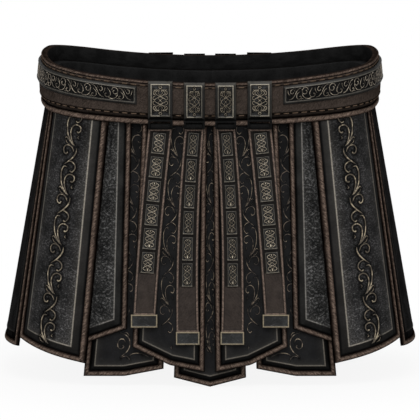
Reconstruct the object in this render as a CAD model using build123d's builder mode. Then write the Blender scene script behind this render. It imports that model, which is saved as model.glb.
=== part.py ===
"""Fauld: a waist belt with a flared skirt of steel-faced leather panels and strap tongues.

The frame has its origin at the centre of the waist opening, on the level of the belt's lower
edge at the front, with +Z up and -Y towards the wearer's front. Left is the -X side.
Sizes are millimetres. Angles are the direction in which a place on the skirt faces:
0 faces the front, 90 faces the left side and 180 faces the back.
"""

import os
from math import atan2, cos, degrees, radians, sin

from build123d import *

os.makedirs("parts", exist_ok=True)

# Skirt, measured on the outer face of the outer panels
half_width = 180.0  # at the belt's lower edge
half_depth = 125.0
corner_radius = 60.5
hem_level = 250.0  # how far below the belt the hem sizes are taken
hem_half_width = 223.0
hem_half_depth = 164.0
hem_corner_radius = 79.0
front_arc_angle = 8.0  # the flat front arc ends here
side_arc_angle = 80.0  # the flat side arc begins here
skirt_length = 277.5  # from the belt to the lowest point of the centre panel

# Belt
belt_height = 46.5  # at the front
belt_leather_thickness = 5.0
belt_bulge = 4.2  # how far the outer face swells past the skirt line
belt_low_inset = 1.0
belt_high_overhang = 1.0
side_rise = 11.5  # the lower edge lies this much higher at the sides
rim_rise = 18.5  # the upper edge lies this much higher at the sides
welt_height = 6.2
welt_overhang = 2.4
piping_height = 3.2
piping_overhang = 1.6
band_height = 31.0  # the inner band that the panels hang from
band_seam_place = 100.0  # from the middle to the seams between the lengths of the band
hang_gap = 0.6  # between the belt's lower edge and the panel tops

# Steel on the belt
side_plate_thickness = 2.6
side_plate_front_end = 78.5  # from the middle of the belt to the plate's end
side_plate_drop = 6.5  # from the rim to the plate
side_plate_height = 19.4
buckle_plate_thickness = 4.0
buckle_plate_gap = 0.2
buckle_plate_overrun = 1.0
buckle_plate_chamfer = 1.6
outer_plate_width = 26.4
inner_plate_width = 22.6

# Panels
bead_height = 4.0  # full thickness of a panel at its rolled edge
bead_width = 6.0
backing_thickness = 1.6
plate_thickness = 0.9
field_thickness = 0.8
bevel_width = 8.0
narrow_bevel_width = 5.0
plate_clearance = 0.2
layer_gap = 0.8

# Strap tongues
outer_strap_place = 53.3  # from the middle of the belt
inner_strap_place = 16.8
outer_strap_width = 25.9
inner_strap_width = 21.0
outer_strap_end_width = 24.1
inner_strap_end_width = 24.8
outer_strap_sway = 17.7  # how far the end lies outside the top
inner_strap_sway = 6.9
outer_strap_bow = 1.5
inner_strap_bow = 3.4
outer_strap_length = 216.0
inner_strap_length = 234.5
strap_thickness = 2.2
strap_bead_height = 1.0
strap_bead_width = 3.2
strap_gap = 0.6  # between the front panel and the strap
strap_start = 2.6  # below the belt
plaque_count = 6
plaque_height = 1.8
plaque_spacing = 2.4
plaque_chamfer = 0.8
outer_plaque_pitch = 25.6
inner_plaque_pitch = 28.0
first_plaque_top = 3.0
outer_plaque_width = 14.5
inner_plaque_width = 11.8
strap_tip_length = 14.0
strap_tip_height = 4.2
outer_tip_width = 28.5
inner_tip_width = 25.4

# Strap bars and their brackets
bar_diameter = 3.0
bar_clearance = 0.05
bar_reach = 7.2  # from the skirt line to the bar's axis
bar_level = 1.0
knuckle_radius = 3.2
neck_drop = strap_start + first_plaque_top  # the fold runs out above the first plaque
ear_thickness = 2.2
ear_gap = 0.3
ear_wall = 1.1
bracket_depth = 4.0  # in front of the bar's axis
bracket_roof = 1.6
bracket_corner = 1.0

# One overrun serves all cuts
overrun = 30.0

# Layers, as insets of the outer face from the skirt line
layer_pitch = bead_height + layer_gap
outer_layer = 0.0
middle_layer = layer_pitch
inner_layer = layer_pitch + layer_pitch
band_inner_inset = inner_layer + bead_height + plate_clearance
leather_inset = belt_leather_thickness - plate_clearance

# Panel edges, each the facing angle at the upper and at the lower reference level
upper_level = 20.0
lower_level = -290.0
front_inner_edge = (0.2, 0.33)
front_outer_edge = (4.75, 4.5)
middle_inner_edge = (5.57, 4.8)
middle_outer_edge = (12.0, 12.0)
big_inner_edge = (7.23, 7.28)
big_outer_edge = (77.8, 62.0)
side_front_edge = (80.5, 65.6)
centre_edge = (2.0, 2.08)
under_inner_edge = (2.7, 2.7)
under_outer_edge = (7.3, 7.3)
side_under_edge = (65.0, 53.0)

# The direction that each panel faces
front_facing = 2.0
middle_facing = 6.6
big_facing = 38.0
under_facing = 5.0

# Lower outlines: share of the way across from the first edge, share of the skirt length
front_bottom_shares = ((0.0, 0.939), (0.48, 0.913), (1.0, 0.845))
middle_bottom_shares = ((0.0, 0.778), (1.0, 0.857))
big_bottom_shares = ((0.0, 0.914), (0.457, 0.876), (1.0, 0.835))
side_bottom_shares = ((0.0, 0.866), (0.5, 0.886), (1.0, 0.866))
centre_bottom_shares = ((0.0, 0.965), (0.5, 1.0), (1.0, 0.965))
under_bottom_shares = ((0.0, 0.932), (0.485, 0.961), (1.0, 0.963))
side_under_bottom_shares = ((0.0, 0.845), (0.5, 0.862), (1.0, 0.845))


def plan_sizes(z):
    """Half width, half depth and corner radius of the skirt line at a height."""
    share = -z / hem_level
    width = half_width + (hem_half_width - half_width) * share
    depth = half_depth + (hem_half_depth - half_depth) * share
    corner = corner_radius + (hem_corner_radius - corner_radius) * share
    return width, depth, corner


def plan_point(angle, z, inset=0.0):
    """Point of the skirt line that faces an angle, moved inwards by an inset.

    The line is four-fold symmetric and made of tangent arcs. The front and side radii follow
    from the half width, the half depth and the corner radius: two linear equations say that
    the front arc's centre lies on the Y axis and the side arc's centre on the X axis.
    """
    width, depth, corner = plan_sizes(z)
    front_sin = sin(radians(front_arc_angle))
    front_cos = cos(radians(front_arc_angle))
    side_sin = sin(radians(side_arc_angle))
    side_cos = cos(radians(side_arc_angle))
    depth_sum = depth - corner * front_cos + corner * side_cos
    width_sum = width + corner * front_sin - corner * side_sin
    determinant = (1 - front_cos) * (1 - side_sin) - side_cos * front_sin
    front_radius = (depth_sum * (1 - side_sin) - side_cos * width_sum) / determinant
    side_radius = ((1 - front_cos) * width_sum - front_sin * depth_sum) / determinant

    turn = abs(angle)
    back = turn > 90.0
    if back:
        turn = 180.0 - turn
    if turn <= front_arc_angle:
        centre_x = 0.0
        centre_y = front_radius - depth
        radius = front_radius
    elif turn <= side_arc_angle:
        centre_x = (front_radius - corner) * front_sin
        centre_y = front_radius - depth - (front_radius - corner) * front_cos
        radius = corner
    else:
        centre_x = width - side_radius
        centre_y = 0.0
        radius = side_radius
    x = centre_x + (radius - inset) * sin(radians(turn))
    y = centre_y - (radius - inset) * cos(radians(turn))
    if back:
        y = -y
    if angle > 0:
        x = -x
    return Vector(x, y, z)


def plan_outline(z, inset):
    """Closed line of eight tangent arcs, for use inside a BuildLine."""
    stops = (
        (-front_arc_angle, 0.0, front_arc_angle),
        (front_arc_angle, 45.0, side_arc_angle),
        (side_arc_angle, 90.0, 180.0 - side_arc_angle),
        (180.0 - side_arc_angle, 135.0, 180.0 - front_arc_angle),
        (180.0 - front_arc_angle, 180.0, -180.0 + front_arc_angle),
        (-180.0 + front_arc_angle, -135.0, -180.0 + side_arc_angle),
        (-180.0 + side_arc_angle, -90.0, -side_arc_angle),
        (-side_arc_angle, -45.0, -front_arc_angle),
    )
    for start, middle, end in stops:
        points = [plan_point(angle, z, inset) for angle in (start, middle, end)]
        ThreePointArc(*[(point.X, point.Y) for point in points])


def saddle_height(x, rise):
    """How much higher an edge of the belt lies at a distance from the middle."""
    return rise * (x / half_width) ** 2


def saddle_region(low, low_rise, high, high_rise):
    """Solid between two saddle-shaped edges, as wide and deep as the whole part."""
    reach = hem_half_width + overrun
    low_end = low + saddle_height(reach, low_rise)
    high_end = high + saddle_height(reach, high_rise)
    with BuildPart() as region:
        with BuildSketch(Plane.XZ):
            with BuildLine():
                ThreePointArc((-reach, low_end), (0, low), (reach, low_end))
                Line((reach, low_end), (reach, high_end))
                ThreePointArc((reach, high_end), (0, high), (-reach, high_end))
                Line((-reach, high_end), (-reach, low_end))
            make_face()
        extrude(amount=reach, both=True)
    return region.part


def below_belt():
    """Solid below the panels' top line."""
    reach = hem_half_width + overrun
    top = -hang_gap
    top_end = top + saddle_height(reach, side_rise)
    with BuildPart() as region:
        with BuildSketch(Plane.XZ):
            with BuildLine():
                ThreePointArc((-reach, top_end), (0, top), (reach, top_end))
                Polyline((reach, top_end), (reach, lower_level), (-reach, lower_level), (-reach, top_end))
            make_face()
        extrude(amount=reach, both=True)
    return region.part


def skirt_shell(outer_inset, inner_inset):
    """Flared ring wall between two insets, cut along the panels' top line."""
    with BuildPart() as wall:
        for z in (upper_level, lower_level):
            with BuildSketch(Plane.XY.offset(z)):
                with BuildLine():
                    plan_outline(z, outer_inset)
                make_face()
        loft(ruled=True)
        for z in (upper_level, lower_level):
            with BuildSketch(Plane.XY.offset(z)):
                with BuildLine():
                    plan_outline(z, inner_inset)
                make_face()
        loft(ruled=True, mode=Mode.SUBTRACT)
        add(below_belt(), mode=Mode.INTERSECT)
    return wall.part


def belt_ring(inner_inset, outer_overhang, swell=True):
    """Ring swept along the skirt line, with the belt's swelling outer face when asked for."""
    top = belt_height + rim_rise + overrun
    bottom = -overrun
    inner = half_depth - inner_inset
    outer = half_depth + outer_overhang
    bulge_level = (belt_height + rim_rise + side_rise) / 2
    with BuildPart() as ring:
        with BuildLine() as path:
            plan_outline(0.0, 0.0)
        with BuildSketch(Plane.YZ):
            with BuildLine():
                if swell:
                    low = (-(outer - belt_low_inset), 0.0)
                    middle = (-(outer + belt_bulge), bulge_level)
                    high = (-(outer + belt_high_overhang), belt_height + rim_rise)
                    face_line = ThreePointArc(low, middle, high)
                    Polyline(face_line @ 1, (-inner, belt_height + rim_rise), (-inner, 0.0), face_line @ 0)
                else:
                    Polyline((-outer, bottom), (-outer, top), (-inner, top), (-inner, bottom), close=True)
            make_face()
        sweep(path=path.wires()[0])
    return ring.part


def facing_plane(angle):
    """Upright plane through the origin that faces an angle, its X towards the viewer's right."""
    outwards = Vector(-sin(radians(angle)), -cos(radians(angle)), 0)
    sideways = Vector(cos(radians(angle)), -sin(radians(angle)), 0)
    return Plane(origin=(0, 0, 0), x_dir=sideways, z_dir=outwards)


def edge_place(edge, z, plane, inset):
    """Place across a facing plane where a panel's straight edge passes a height."""
    upper = plan_point(edge[0], upper_level, inset)
    lower = plan_point(edge[1], lower_level, inset)
    share = (upper_level - z) / (upper_level - lower_level)
    point = upper + (lower - upper) * share
    return point.dot(plane.x_dir)


def panel_region(first_edge, last_edge, bottom_shares, angle, layer, margin=0.0):
    """Prism of a panel's outline, drawn in by a margin and pushed out through the skirt."""
    plane = facing_plane(angle)
    top = upper_level + overrun
    points = [(edge_place(first_edge, top, plane, layer), top)]
    for across_share, drop_share in bottom_shares:
        z = -skirt_length * drop_share
        first = edge_place(first_edge, z, plane, layer)
        last = edge_place(last_edge, z, plane, layer)
        points.append((first + (last - first) * across_share, z))
    points.append((edge_place(last_edge, top, plane, layer), top))
    with BuildPart() as region:
        with BuildSketch(plane):
            with BuildLine():
                Polyline(*points, close=True)
            make_face()
            if margin > 0:
                offset(amount=-margin, kind=Kind.INTERSECTION)
        extrude(amount=hem_half_width + overrun)
    return region.part


class Layer:
    """The ring walls that every panel of one layer is cut from."""

    def __init__(self, inset):
        plate_top = inset + bead_height - backing_thickness
        plate_face = plate_top - plate_thickness
        self.inset = inset
        self.leather = skirt_shell(inset, inset + bead_height)
        self.recess = skirt_shell(inset - layer_gap, plate_top)
        self.plate = skirt_shell(plate_face, plate_top)
        self.field = skirt_shell(plate_face - field_thickness, plate_face)


def panel_leather(layer, *outline):
    """Leather backing of a panel, with its rolled edge standing up round the plate."""
    with BuildPart() as leather:
        add(layer.leather)
        add(panel_region(*outline, layer.inset), mode=Mode.INTERSECT)
    with BuildPart() as recess:
        add(layer.recess)
        add(panel_region(*outline, layer.inset, bead_width), mode=Mode.INTERSECT)
    with BuildPart() as backing:
        add(leather.part)
        add(recess.part, mode=Mode.SUBTRACT)
    return backing.part


def panel_plate(layer, bevel, *outline):
    """Steel plate of a panel: a base in the leather's recess and a raised field."""
    with BuildPart() as base:
        add(layer.plate)
        add(panel_region(*outline, layer.inset, bead_width + plate_clearance), mode=Mode.INTERSECT)
    with BuildPart() as field:
        add(layer.field)
        add(panel_region(*outline, layer.inset, bead_width + bevel), mode=Mode.INTERSECT)
    with BuildPart() as plate:
        add(base.part)
        add(field.part)
    return plate.part


def turned(part, to_right, to_back):
    """Mirror copy of a front left piece for another quarter of the skirt."""
    with BuildPart() as copy:
        add(part)
        if to_right:
            mirror(about=Plane.YZ, mode=Mode.REPLACE)
        if to_back:
            mirror(about=Plane.XZ, mode=Mode.REPLACE)
    return copy.part


def save(part, name):
    """Label a finished piece and write it."""
    part.label = name
    export_step(part, f"parts/{name}.step")


# Belt leather between the welt and the rim piping
with BuildPart() as belt_leather:
    add(belt_ring(leather_inset, 0.0))
    add(
        saddle_region(welt_height, side_rise, belt_height - piping_height, rim_rise),
        mode=Mode.INTERSECT,
    )
save(belt_leather.part, "belt_leather")

# Rolled welt along the lower edge and thin piping along the rim
with BuildPart() as welt:
    add(belt_ring(leather_inset, welt_overhang, swell=False))
    add(saddle_region(0.0, side_rise, welt_height, side_rise), mode=Mode.INTERSECT)
with BuildPart() as piping:
    add(belt_ring(leather_inset, piping_overhang, swell=False))
    add(saddle_region(belt_height - piping_height, rim_rise, belt_height, rim_rise), mode=Mode.INTERSECT)
save(welt.part, "belt_welt")
save(piping.part, "belt_piping")

# Inner band, which the three layers of panels hang from: a front, a back and two side lengths,
# butted at upright seams
with BuildPart() as hanging_band:
    add(belt_ring(band_inner_inset, -leather_inset, swell=False))
    add(saddle_region(0.0, side_rise, band_height, rim_rise), mode=Mode.INTERSECT)
    split(bisect_by=Plane.YZ.offset(band_seam_place), keep=Keep.BOTH)
    split(bisect_by=Plane.YZ.offset(-band_seam_place), keep=Keep.BOTH)
save(hanging_band.part, "hanging_band")

# Long relief plates that wrap round the sides of the belt
with BuildPart() as side_skin:
    add(belt_ring(0.0, side_plate_thickness))
    add(belt_ring(leather_inset, 0.0), mode=Mode.SUBTRACT)
    add(
        saddle_region(
            belt_height - side_plate_drop - side_plate_height,
            (side_rise + rim_rise) / 2,
            belt_height - side_plate_drop,
            rim_rise,
        ),
        mode=Mode.INTERSECT,
    )
with BuildPart() as side_plates:
    add(side_skin.part)
    Box(
        2 * side_plate_front_end,
        2 * (half_depth + overrun),
        2 * (belt_height + rim_rise + overrun),
        mode=Mode.SUBTRACT,
    )
save(side_plates.part, "side_plates")


# The four buckle plates at the front and at the back, above the straps
def buckle_plate_bottom(place, width):
    """Height of a buckle plate's lower edge, just clear of the welt."""
    return welt_height + buckle_plate_gap + saddle_height(place + width / 2, side_rise)


def buckle_plate(place, width):
    """Upright plate on the belt's front, its back seated on the swelling leather."""
    top = belt_height + buckle_plate_overrun + saddle_height(place, rim_rise)
    bottom = buckle_plate_bottom(place, width)
    with BuildPart() as blank:
        with BuildSketch(Plane.XZ):
            with Locations((-place, (top + bottom) / 2)):
                Rectangle(width, top - bottom)
        extrude(amount=half_depth + overrun)
    with BuildPart() as plate:
        add(belt_ring(0.0, buckle_plate_thickness))
        add(belt_ring(leather_inset, 0.0), mode=Mode.SUBTRACT)
        add(blank.part, mode=Mode.INTERSECT)
        add(piping.part, mode=Mode.SUBTRACT)
        front = plate.faces().sort_by(Axis.Y)[0]
        chamfer(front.edges(), length=buckle_plate_chamfer)
    return plate.part


plate_sizes = ((outer_strap_place, outer_plate_width), (inner_strap_place, inner_plate_width))
left_plates = [buckle_plate(place, width) for place, width in plate_sizes]
with BuildPart() as buckle_plates:
    for plate in left_plates:
        for to_right in (False, True):
            for to_back in (False, True):
                add(turned(plate, to_right, to_back))
save(buckle_plates.part, "buckle_plates")


# Panels of one quarter: name, layer, bevel, first edge, last edge, lower outline, facing angle
outer = Layer(outer_layer)
middle = Layer(middle_layer)
inner = Layer(inner_layer)


def mirrored(edge):
    """The same edge on the other side of the front's middle line."""
    return tuple(-angle for angle in edge)


def across_back(edge):
    """The same edge behind the left side's middle line."""
    return tuple(180.0 - angle for angle in edge)


front_outline = (front_inner_edge, front_outer_edge, front_bottom_shares, front_facing)
middle_outline = (middle_inner_edge, middle_outer_edge, middle_bottom_shares, middle_facing)
big_outline = (big_inner_edge, big_outer_edge, big_bottom_shares, big_facing)
side_outline = (side_front_edge, across_back(side_front_edge), side_bottom_shares, 90.0)
under_outline = (under_inner_edge, under_outer_edge, under_bottom_shares, under_facing)
centre_outline = (centre_edge, mirrored(centre_edge), centre_bottom_shares, 0.0)
side_under_outline = (
    side_under_edge,
    across_back(side_under_edge),
    side_under_bottom_shares,
    90.0,
)

quarters = (
    ("front_left", False, False),
    ("front_right", True, False),
    ("back_left", False, True),
    ("back_right", True, True),
)
sides = (("left", False, False), ("right", True, False))
faces = (("front", False, False), ("back", False, True))

# Outer and middle panels, each a leather backing and a steel plate
plated_panels = (
    ("{}_panel", outer, narrow_bevel_width, front_outline, quarters),
    ("{}_middle_panel", middle, bevel_width, middle_outline, quarters),
    ("{}_corner_panel", outer, bevel_width, big_outline, quarters),
    ("{}_side_panel", outer, bevel_width, side_outline, sides),
)
for pattern, layer, bevel, outline, places in plated_panels:
    leather = panel_leather(layer, *outline)
    plate = panel_plate(layer, bevel, *outline)
    for place_name, to_right, to_back in places:
        name = pattern.format(place_name)
        save(turned(leather, to_right, to_back), f"{name}_leather")
        save(turned(plate, to_right, to_back), f"{name}_plate")

# Under panels, which close the gaps: leather and plate are two solids of one piece
under_panels = (
    ("{}_under_panel", under_outline, quarters),
    ("{}_centre_panel", centre_outline, faces),
    ("{}_side_under_panel", side_under_outline, sides),
)
for pattern, outline, places in under_panels:
    leather = panel_leather(inner, *outline)
    plate = panel_plate(inner, narrow_bevel_width, *outline)
    for place_name, to_right, to_back in places:
        pieces = [turned(piece, to_right, to_back) for piece in (leather, plate)]
        save(Compound(children=pieces), pattern.format(place_name))


class Strap:
    """A strap tongue of the left front, drawn in the slanted plane of the front panel."""

    def __init__(self, place, width, end_width, sway, bow, length, pitch, plaque, tip, bracket):
        self.place = place
        self.width = width
        self.end_width = end_width
        self.sway = sway
        self.bow = bow
        self.length = length
        self.pitch = pitch
        self.plaque = plaque
        self.tip = tip
        self.bracket = bracket
        self.knuckle = bracket - 2 * (ear_thickness + ear_gap)

    def middle(self, drop):
        """Place across and height of the strap's middle line at a distance below the belt."""
        share = (drop - strap_start) / (self.length - strap_start)
        across = self.place + self.sway * share + self.bow * 4 * share * (1 - share)
        return -across, -drop

    def edge(self, drop, side):
        """Point of one long edge at a distance below the belt."""
        share = (drop - strap_start) / (self.length - strap_start)
        width = self.width + (self.end_width - self.width) * share
        across, height = self.middle(drop)
        return across + side * width / 2, height

    def outline(self, first, last):
        """Outline between two distances below the belt, its long edges gently bowed."""
        half_way = (first + last) / 2
        ThreePointArc(self.edge(first, -1), self.edge(half_way, -1), self.edge(last, -1))
        Line(self.edge(last, -1), self.edge(last, 1))
        ThreePointArc(self.edge(last, 1), self.edge(half_way, 1), self.edge(first, 1))
        Line(self.edge(first, 1), self.edge(first, -1))


front_slope = (hem_half_depth - half_depth) / hem_level
front_slant = atan2(hem_half_depth - half_depth, hem_level)
bar_axis = (-(half_depth + bar_reach), bar_level)


def strap_plane(height):
    """Slanted plane that lies a height above the back of the straps."""
    outwards = Vector(0, -cos(front_slant), sin(front_slant))
    origin = Vector(0, -half_depth, 0) + outwards * (strap_gap + height)
    return Plane(origin=origin, x_dir=(1, 0, 0), z_dir=outwards)


def strap_surface(height, drop):
    """Point in the YZ plane, a height above a strap's back and a drop below the belt."""
    stand_off = (strap_gap + height) / cos(front_slant)
    return (-(half_depth + front_slope * drop + stand_off), -drop)


def strap_leather(strap):
    """Leather tongue with a raised bead all round and the folded end that holds the bar."""
    leather_end = strap.length - strap_tip_length
    with BuildPart() as leather:
        with BuildSketch(strap_plane(0.0)):
            with BuildLine():
                strap.outline(strap_start, leather_end)
            make_face()
        extrude(amount=strap_thickness + strap_bead_height)
        with BuildSketch(strap_plane(strap_thickness)):
            with BuildLine():
                strap.outline(strap_start, leather_end)
            make_face()
            offset(amount=-strap_bead_width, kind=Kind.INTERSECTION)
        extrude(amount=strap_bead_height + strap_bead_height, mode=Mode.SUBTRACT)
        with BuildSketch(Plane.YZ.offset(-strap.place - strap.knuckle / 2)):
            with Locations(bar_axis):
                Circle(knuckle_radius)
            with BuildLine():
                Polyline(
                    (bar_axis[0] - knuckle_radius, bar_axis[1]),
                    strap_surface(strap_thickness, neck_drop),
                    strap_surface(strap_thickness / 2, neck_drop),
                    strap_surface(strap_thickness / 2, strap_start),
                    (bar_axis[0] + knuckle_radius, bar_axis[1]),
                    close=True,
                )
            make_face()
        extrude(amount=strap.knuckle)
        with BuildSketch(Plane.YZ.offset(-strap.place - strap.knuckle / 2)):
            with Locations(bar_axis):
                Circle(bar_diameter / 2 + bar_clearance)
        extrude(amount=strap.knuckle, mode=Mode.SUBTRACT)
    return leather.part


def strap_plaques(strap):
    """Row of bevelled steel plaques down the strap."""
    places = []
    for number in range(plaque_count):
        drop = strap_start + first_plaque_top + strap.pitch * (number + 0.5)
        above = strap.middle(drop - strap.pitch / 2)
        below = strap.middle(drop + strap.pitch / 2)
        lean = atan2(above[0] - below[0], above[1] - below[1])
        places.append(Location((*strap.middle(drop), 0), (0, 0, -degrees(lean))))
    with BuildPart() as plaques:
        with BuildSketch(strap_plane(strap_thickness)):
            with Locations(*places):
                Rectangle(strap.plaque, strap.pitch - plaque_spacing)
        extrude(amount=plaque_height)
        outwards = Axis(strap_plane(0.0).origin, strap_plane(0.0).z_dir)
        fronts = plaques.faces().filter_by(outwards).group_by(outwards)[-1]
        chamfer(fronts.edges(), length=plaque_chamfer)
    return plaques.part


def strap_tip(strap):
    """Plain steel cap on the strap's end."""
    with BuildPart() as tip:
        with BuildSketch(strap_plane(0.0)):
            with Locations(strap.middle(strap.length - strap_tip_length / 2)):
                Rectangle(strap.tip, strap_tip_length)
        extrude(amount=strap_tip_height)
        outwards = Axis(strap_plane(0.0).origin, strap_plane(0.0).z_dir)
        front = tip.faces().filter_by(outwards).sort_by(outwards)[-1]
        chamfer(front.edges(), length=plaque_chamfer)
    return tip.part


def strap_bracket(strap):
    """Loop under the buckle plate: two ears and a roof round the strap's folded end."""
    back = -(half_depth + welt_overhang)
    front = bar_axis[0] - bracket_depth
    low = bar_level - bar_diameter / 2 - ear_wall
    high = buckle_plate_bottom(strap.place, strap.bracket)
    with BuildPart() as bracket:
        with BuildSketch(Plane.YZ.offset(-strap.place - strap.bracket / 2)):
            with Locations(((back + front) / 2, (low + high) / 2)):
                Rectangle(back - front, high - low)
        extrude(amount=strap.bracket)
        fillet(bracket.edges().filter_by(Axis.X).group_by(Axis.Y)[0], radius=bracket_corner)
        with BuildSketch(Plane.YZ.offset(-strap.place - strap.knuckle / 2 - ear_gap)):
            with Locations(((back + front) / 2, high - bracket_roof - overrun / 2)):
                Rectangle(overrun, overrun)
        extrude(amount=strap.knuckle + 2 * ear_gap, mode=Mode.SUBTRACT)
        with BuildSketch(Plane.YZ.offset(-strap.place - strap.bracket / 2)):
            with Locations(bar_axis):
                Circle(bar_diameter / 2)
        extrude(amount=strap.bracket, mode=Mode.SUBTRACT)
    return bracket.part


def strap_bar(strap):
    """Round bar through the ears, which the strap swings on."""
    with BuildPart() as bar:
        with BuildSketch(Plane.YZ.offset(-strap.place - strap.bracket / 2)):
            with Locations(bar_axis):
                Circle(bar_diameter / 2)
        extrude(amount=strap.bracket)
    return bar.part


outer_strap = Strap(
    outer_strap_place,
    outer_strap_width,
    outer_strap_end_width,
    outer_strap_sway,
    outer_strap_bow,
    outer_strap_length,
    outer_plaque_pitch,
    outer_plaque_width,
    outer_tip_width,
    outer_plate_width,
)
inner_strap = Strap(
    inner_strap_place,
    inner_strap_width,
    inner_strap_end_width,
    inner_strap_sway,
    inner_strap_bow,
    inner_strap_length,
    inner_plaque_pitch,
    inner_plaque_width,
    inner_tip_width,
    inner_plate_width,
)

brackets = []
bars = []
for strap_name, strap in (("outer", outer_strap), ("inner", inner_strap)):
    leather = strap_leather(strap)
    fittings = (strap_plaques(strap), strap_tip(strap))
    bracket = strap_bracket(strap)
    bar = strap_bar(strap)
    for place_name, to_right, to_back in quarters:
        name = f"{place_name}_{strap_name}_strap"
        save(turned(leather, to_right, to_back), name)
        pieces = [turned(piece, to_right, to_back) for piece in fittings]
        save(Compound(children=pieces), f"{name}_fittings")
        brackets.append(turned(bracket, to_right, to_back))
        bars.append(turned(bar, to_right, to_back))
save(Compound(children=brackets), "strap_brackets")
save(Compound(children=bars), "strap_bars")
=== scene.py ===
# %% [markdown]
# # A fauld in leather and dark steel
# A fauld is the skirt of an armour. This one is a leather belt from which flared leather
# panels hang in three layers, each faced with a steel plate, and four strap tongues hang in
# front and behind. Every panel swings on its own line below the belt, so every piece made
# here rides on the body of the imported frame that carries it.

# %% The frame
import math

import bpy
import numpy as np
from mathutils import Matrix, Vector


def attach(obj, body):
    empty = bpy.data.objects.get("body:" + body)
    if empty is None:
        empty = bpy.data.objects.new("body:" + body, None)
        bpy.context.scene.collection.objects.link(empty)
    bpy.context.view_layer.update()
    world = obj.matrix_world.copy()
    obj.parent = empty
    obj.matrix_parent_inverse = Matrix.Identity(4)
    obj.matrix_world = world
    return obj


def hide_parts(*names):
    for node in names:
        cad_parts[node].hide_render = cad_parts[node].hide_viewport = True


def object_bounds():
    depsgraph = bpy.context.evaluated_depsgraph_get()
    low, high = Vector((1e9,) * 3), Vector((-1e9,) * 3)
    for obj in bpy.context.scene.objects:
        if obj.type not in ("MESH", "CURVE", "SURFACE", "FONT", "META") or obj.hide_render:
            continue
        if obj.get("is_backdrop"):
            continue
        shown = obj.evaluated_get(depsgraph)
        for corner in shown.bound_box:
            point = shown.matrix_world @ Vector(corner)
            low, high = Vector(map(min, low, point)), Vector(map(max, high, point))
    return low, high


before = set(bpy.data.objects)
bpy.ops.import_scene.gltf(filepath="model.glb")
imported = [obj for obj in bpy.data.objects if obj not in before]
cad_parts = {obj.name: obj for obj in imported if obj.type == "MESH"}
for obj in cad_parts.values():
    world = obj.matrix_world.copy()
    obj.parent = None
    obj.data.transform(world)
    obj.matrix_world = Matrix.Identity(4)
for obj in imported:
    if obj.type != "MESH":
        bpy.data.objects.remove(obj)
cad_box = [list(corner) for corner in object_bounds()]

# %% [markdown]
# ## The line round the waist
# Seen from above, the skirt is a rounded box made of tangent arcs: a flat one in front and
# behind, a flat one at each side and a tight one at each corner. It could be drawn as a
# curve object, but a formula is better here, because belt, panels, plates and scrolls all
# need the same line at other heights and drawn in by other amounts. All sizes in this file
# are millimetres until a mesh is made.

# %% Waist line
half_width, half_depth, corner_radius = 180.0, 125.0, 60.5
hem_level, hem_half_width, hem_half_depth, hem_corner_radius = 250.0, 223.0, 164.0, 79.0
front_arc, side_arc = math.radians(8.0), math.radians(80.0)


def waist_line(angle, z, inset=0.0):
    """x and y of the skirt at a height, where it faces an angle: 0 is the front, a quarter turn the left.

    Half width, half depth and corner radius grow linearly downwards. Two linear equations give
    the front and the side radius: tangent arcs, with centres on the two axes. A point is the
    centre of its arc plus the arc's radius, less the inset, times the facing direction.
    """
    angle, z, inset = np.broadcast_arrays(np.asarray(angle, float), z, inset)
    share = -z / hem_level
    width = half_width + (hem_half_width - half_width) * share
    depth = half_depth + (hem_half_depth - half_depth) * share
    corner = corner_radius + (hem_corner_radius - corner_radius) * share
    fs, fc, ss, sc = math.sin(front_arc), math.cos(front_arc), math.sin(side_arc), math.cos(side_arc)
    depth_sum = depth - corner * fc + corner * sc
    width_sum = width + corner * fs - corner * ss
    determinant = (1 - fc) * (1 - ss) - sc * fs
    front_radius = (depth_sum * (1 - ss) - sc * width_sum) / determinant
    side_radius = ((1 - fc) * width_sum - fs * depth_sum) / determinant
    turn = np.abs(angle)
    back = turn > math.pi / 2
    turn = np.where(back, math.pi - turn, turn)
    flat, tight = turn <= front_arc, turn <= side_arc
    centre_x = np.where(flat, 0.0, np.where(tight, (front_radius - corner) * fs, width - side_radius))
    centre_y = np.where(
        flat,
        front_radius - depth,
        np.where(tight, front_radius - depth - (front_radius - corner) * fc, 0.0),
    )
    radius = np.where(flat, front_radius, np.where(tight, corner, side_radius)) - inset
    x = centre_x + radius * np.sin(turn)
    y = centre_y - radius * np.cos(turn)
    return np.where(angle > 0, -x, x), np.where(back, -y, y)


def skirt_point(across, z, inset, facing):
    """Points of the skirt at places across an upright plane that faces an angle.

    Places across shrink as the angle grows, so halving the range of angles again and again
    finds the one whose point lies at each place.
    """
    across, z, inset = np.broadcast_arrays(np.asarray(across, float), z, inset)
    low = np.full(across.shape, facing - 1.15)
    high = np.full(across.shape, facing + 1.15)
    for _ in range(32):
        middle = (low + high) / 2
        x, y = waist_line(middle, z, inset)
        beyond = x * math.cos(facing) - y * math.sin(facing) > across
        low, high = np.where(beyond, middle, low), np.where(beyond, high, middle)
    return np.stack([x, y, z], axis=-1)


print("half width and half depth at the hem", np.round(waist_line([math.pi / 2, 0.0], -hem_level), 1).tolist())

# %% [markdown]
# ## From arrays to pieces
# A piece is one or more sheets of points: rows go down and columns go to the right as one
# looks at the piece from outside, which makes its faces point outwards. Each sheet carries
# three numbers per point that its finish reads: wear together with painted highlights on
# crests and ridges, painted shade in hollows and beside raised work, and polish on smooth
# bevels. The UV map holds the real place on the surface, 100 mm to the unit, so that grain
# and scratches keep their size.


# %% Sheets and pieces
def sheet_of(points, flat, wear_and_highlight=0.0, shade=0.0, polish=0.0):
    """A sheet: points in rows and columns, their flat places in mm, and what the finish reads."""
    shape = points.shape[:-1]
    marks = [np.broadcast_to(np.asarray(m, float), shape) for m in (wear_and_highlight, shade, polish)]
    return {"points": points, "flat": np.broadcast_to(flat, shape + (2,)), "marks": marks}


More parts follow.
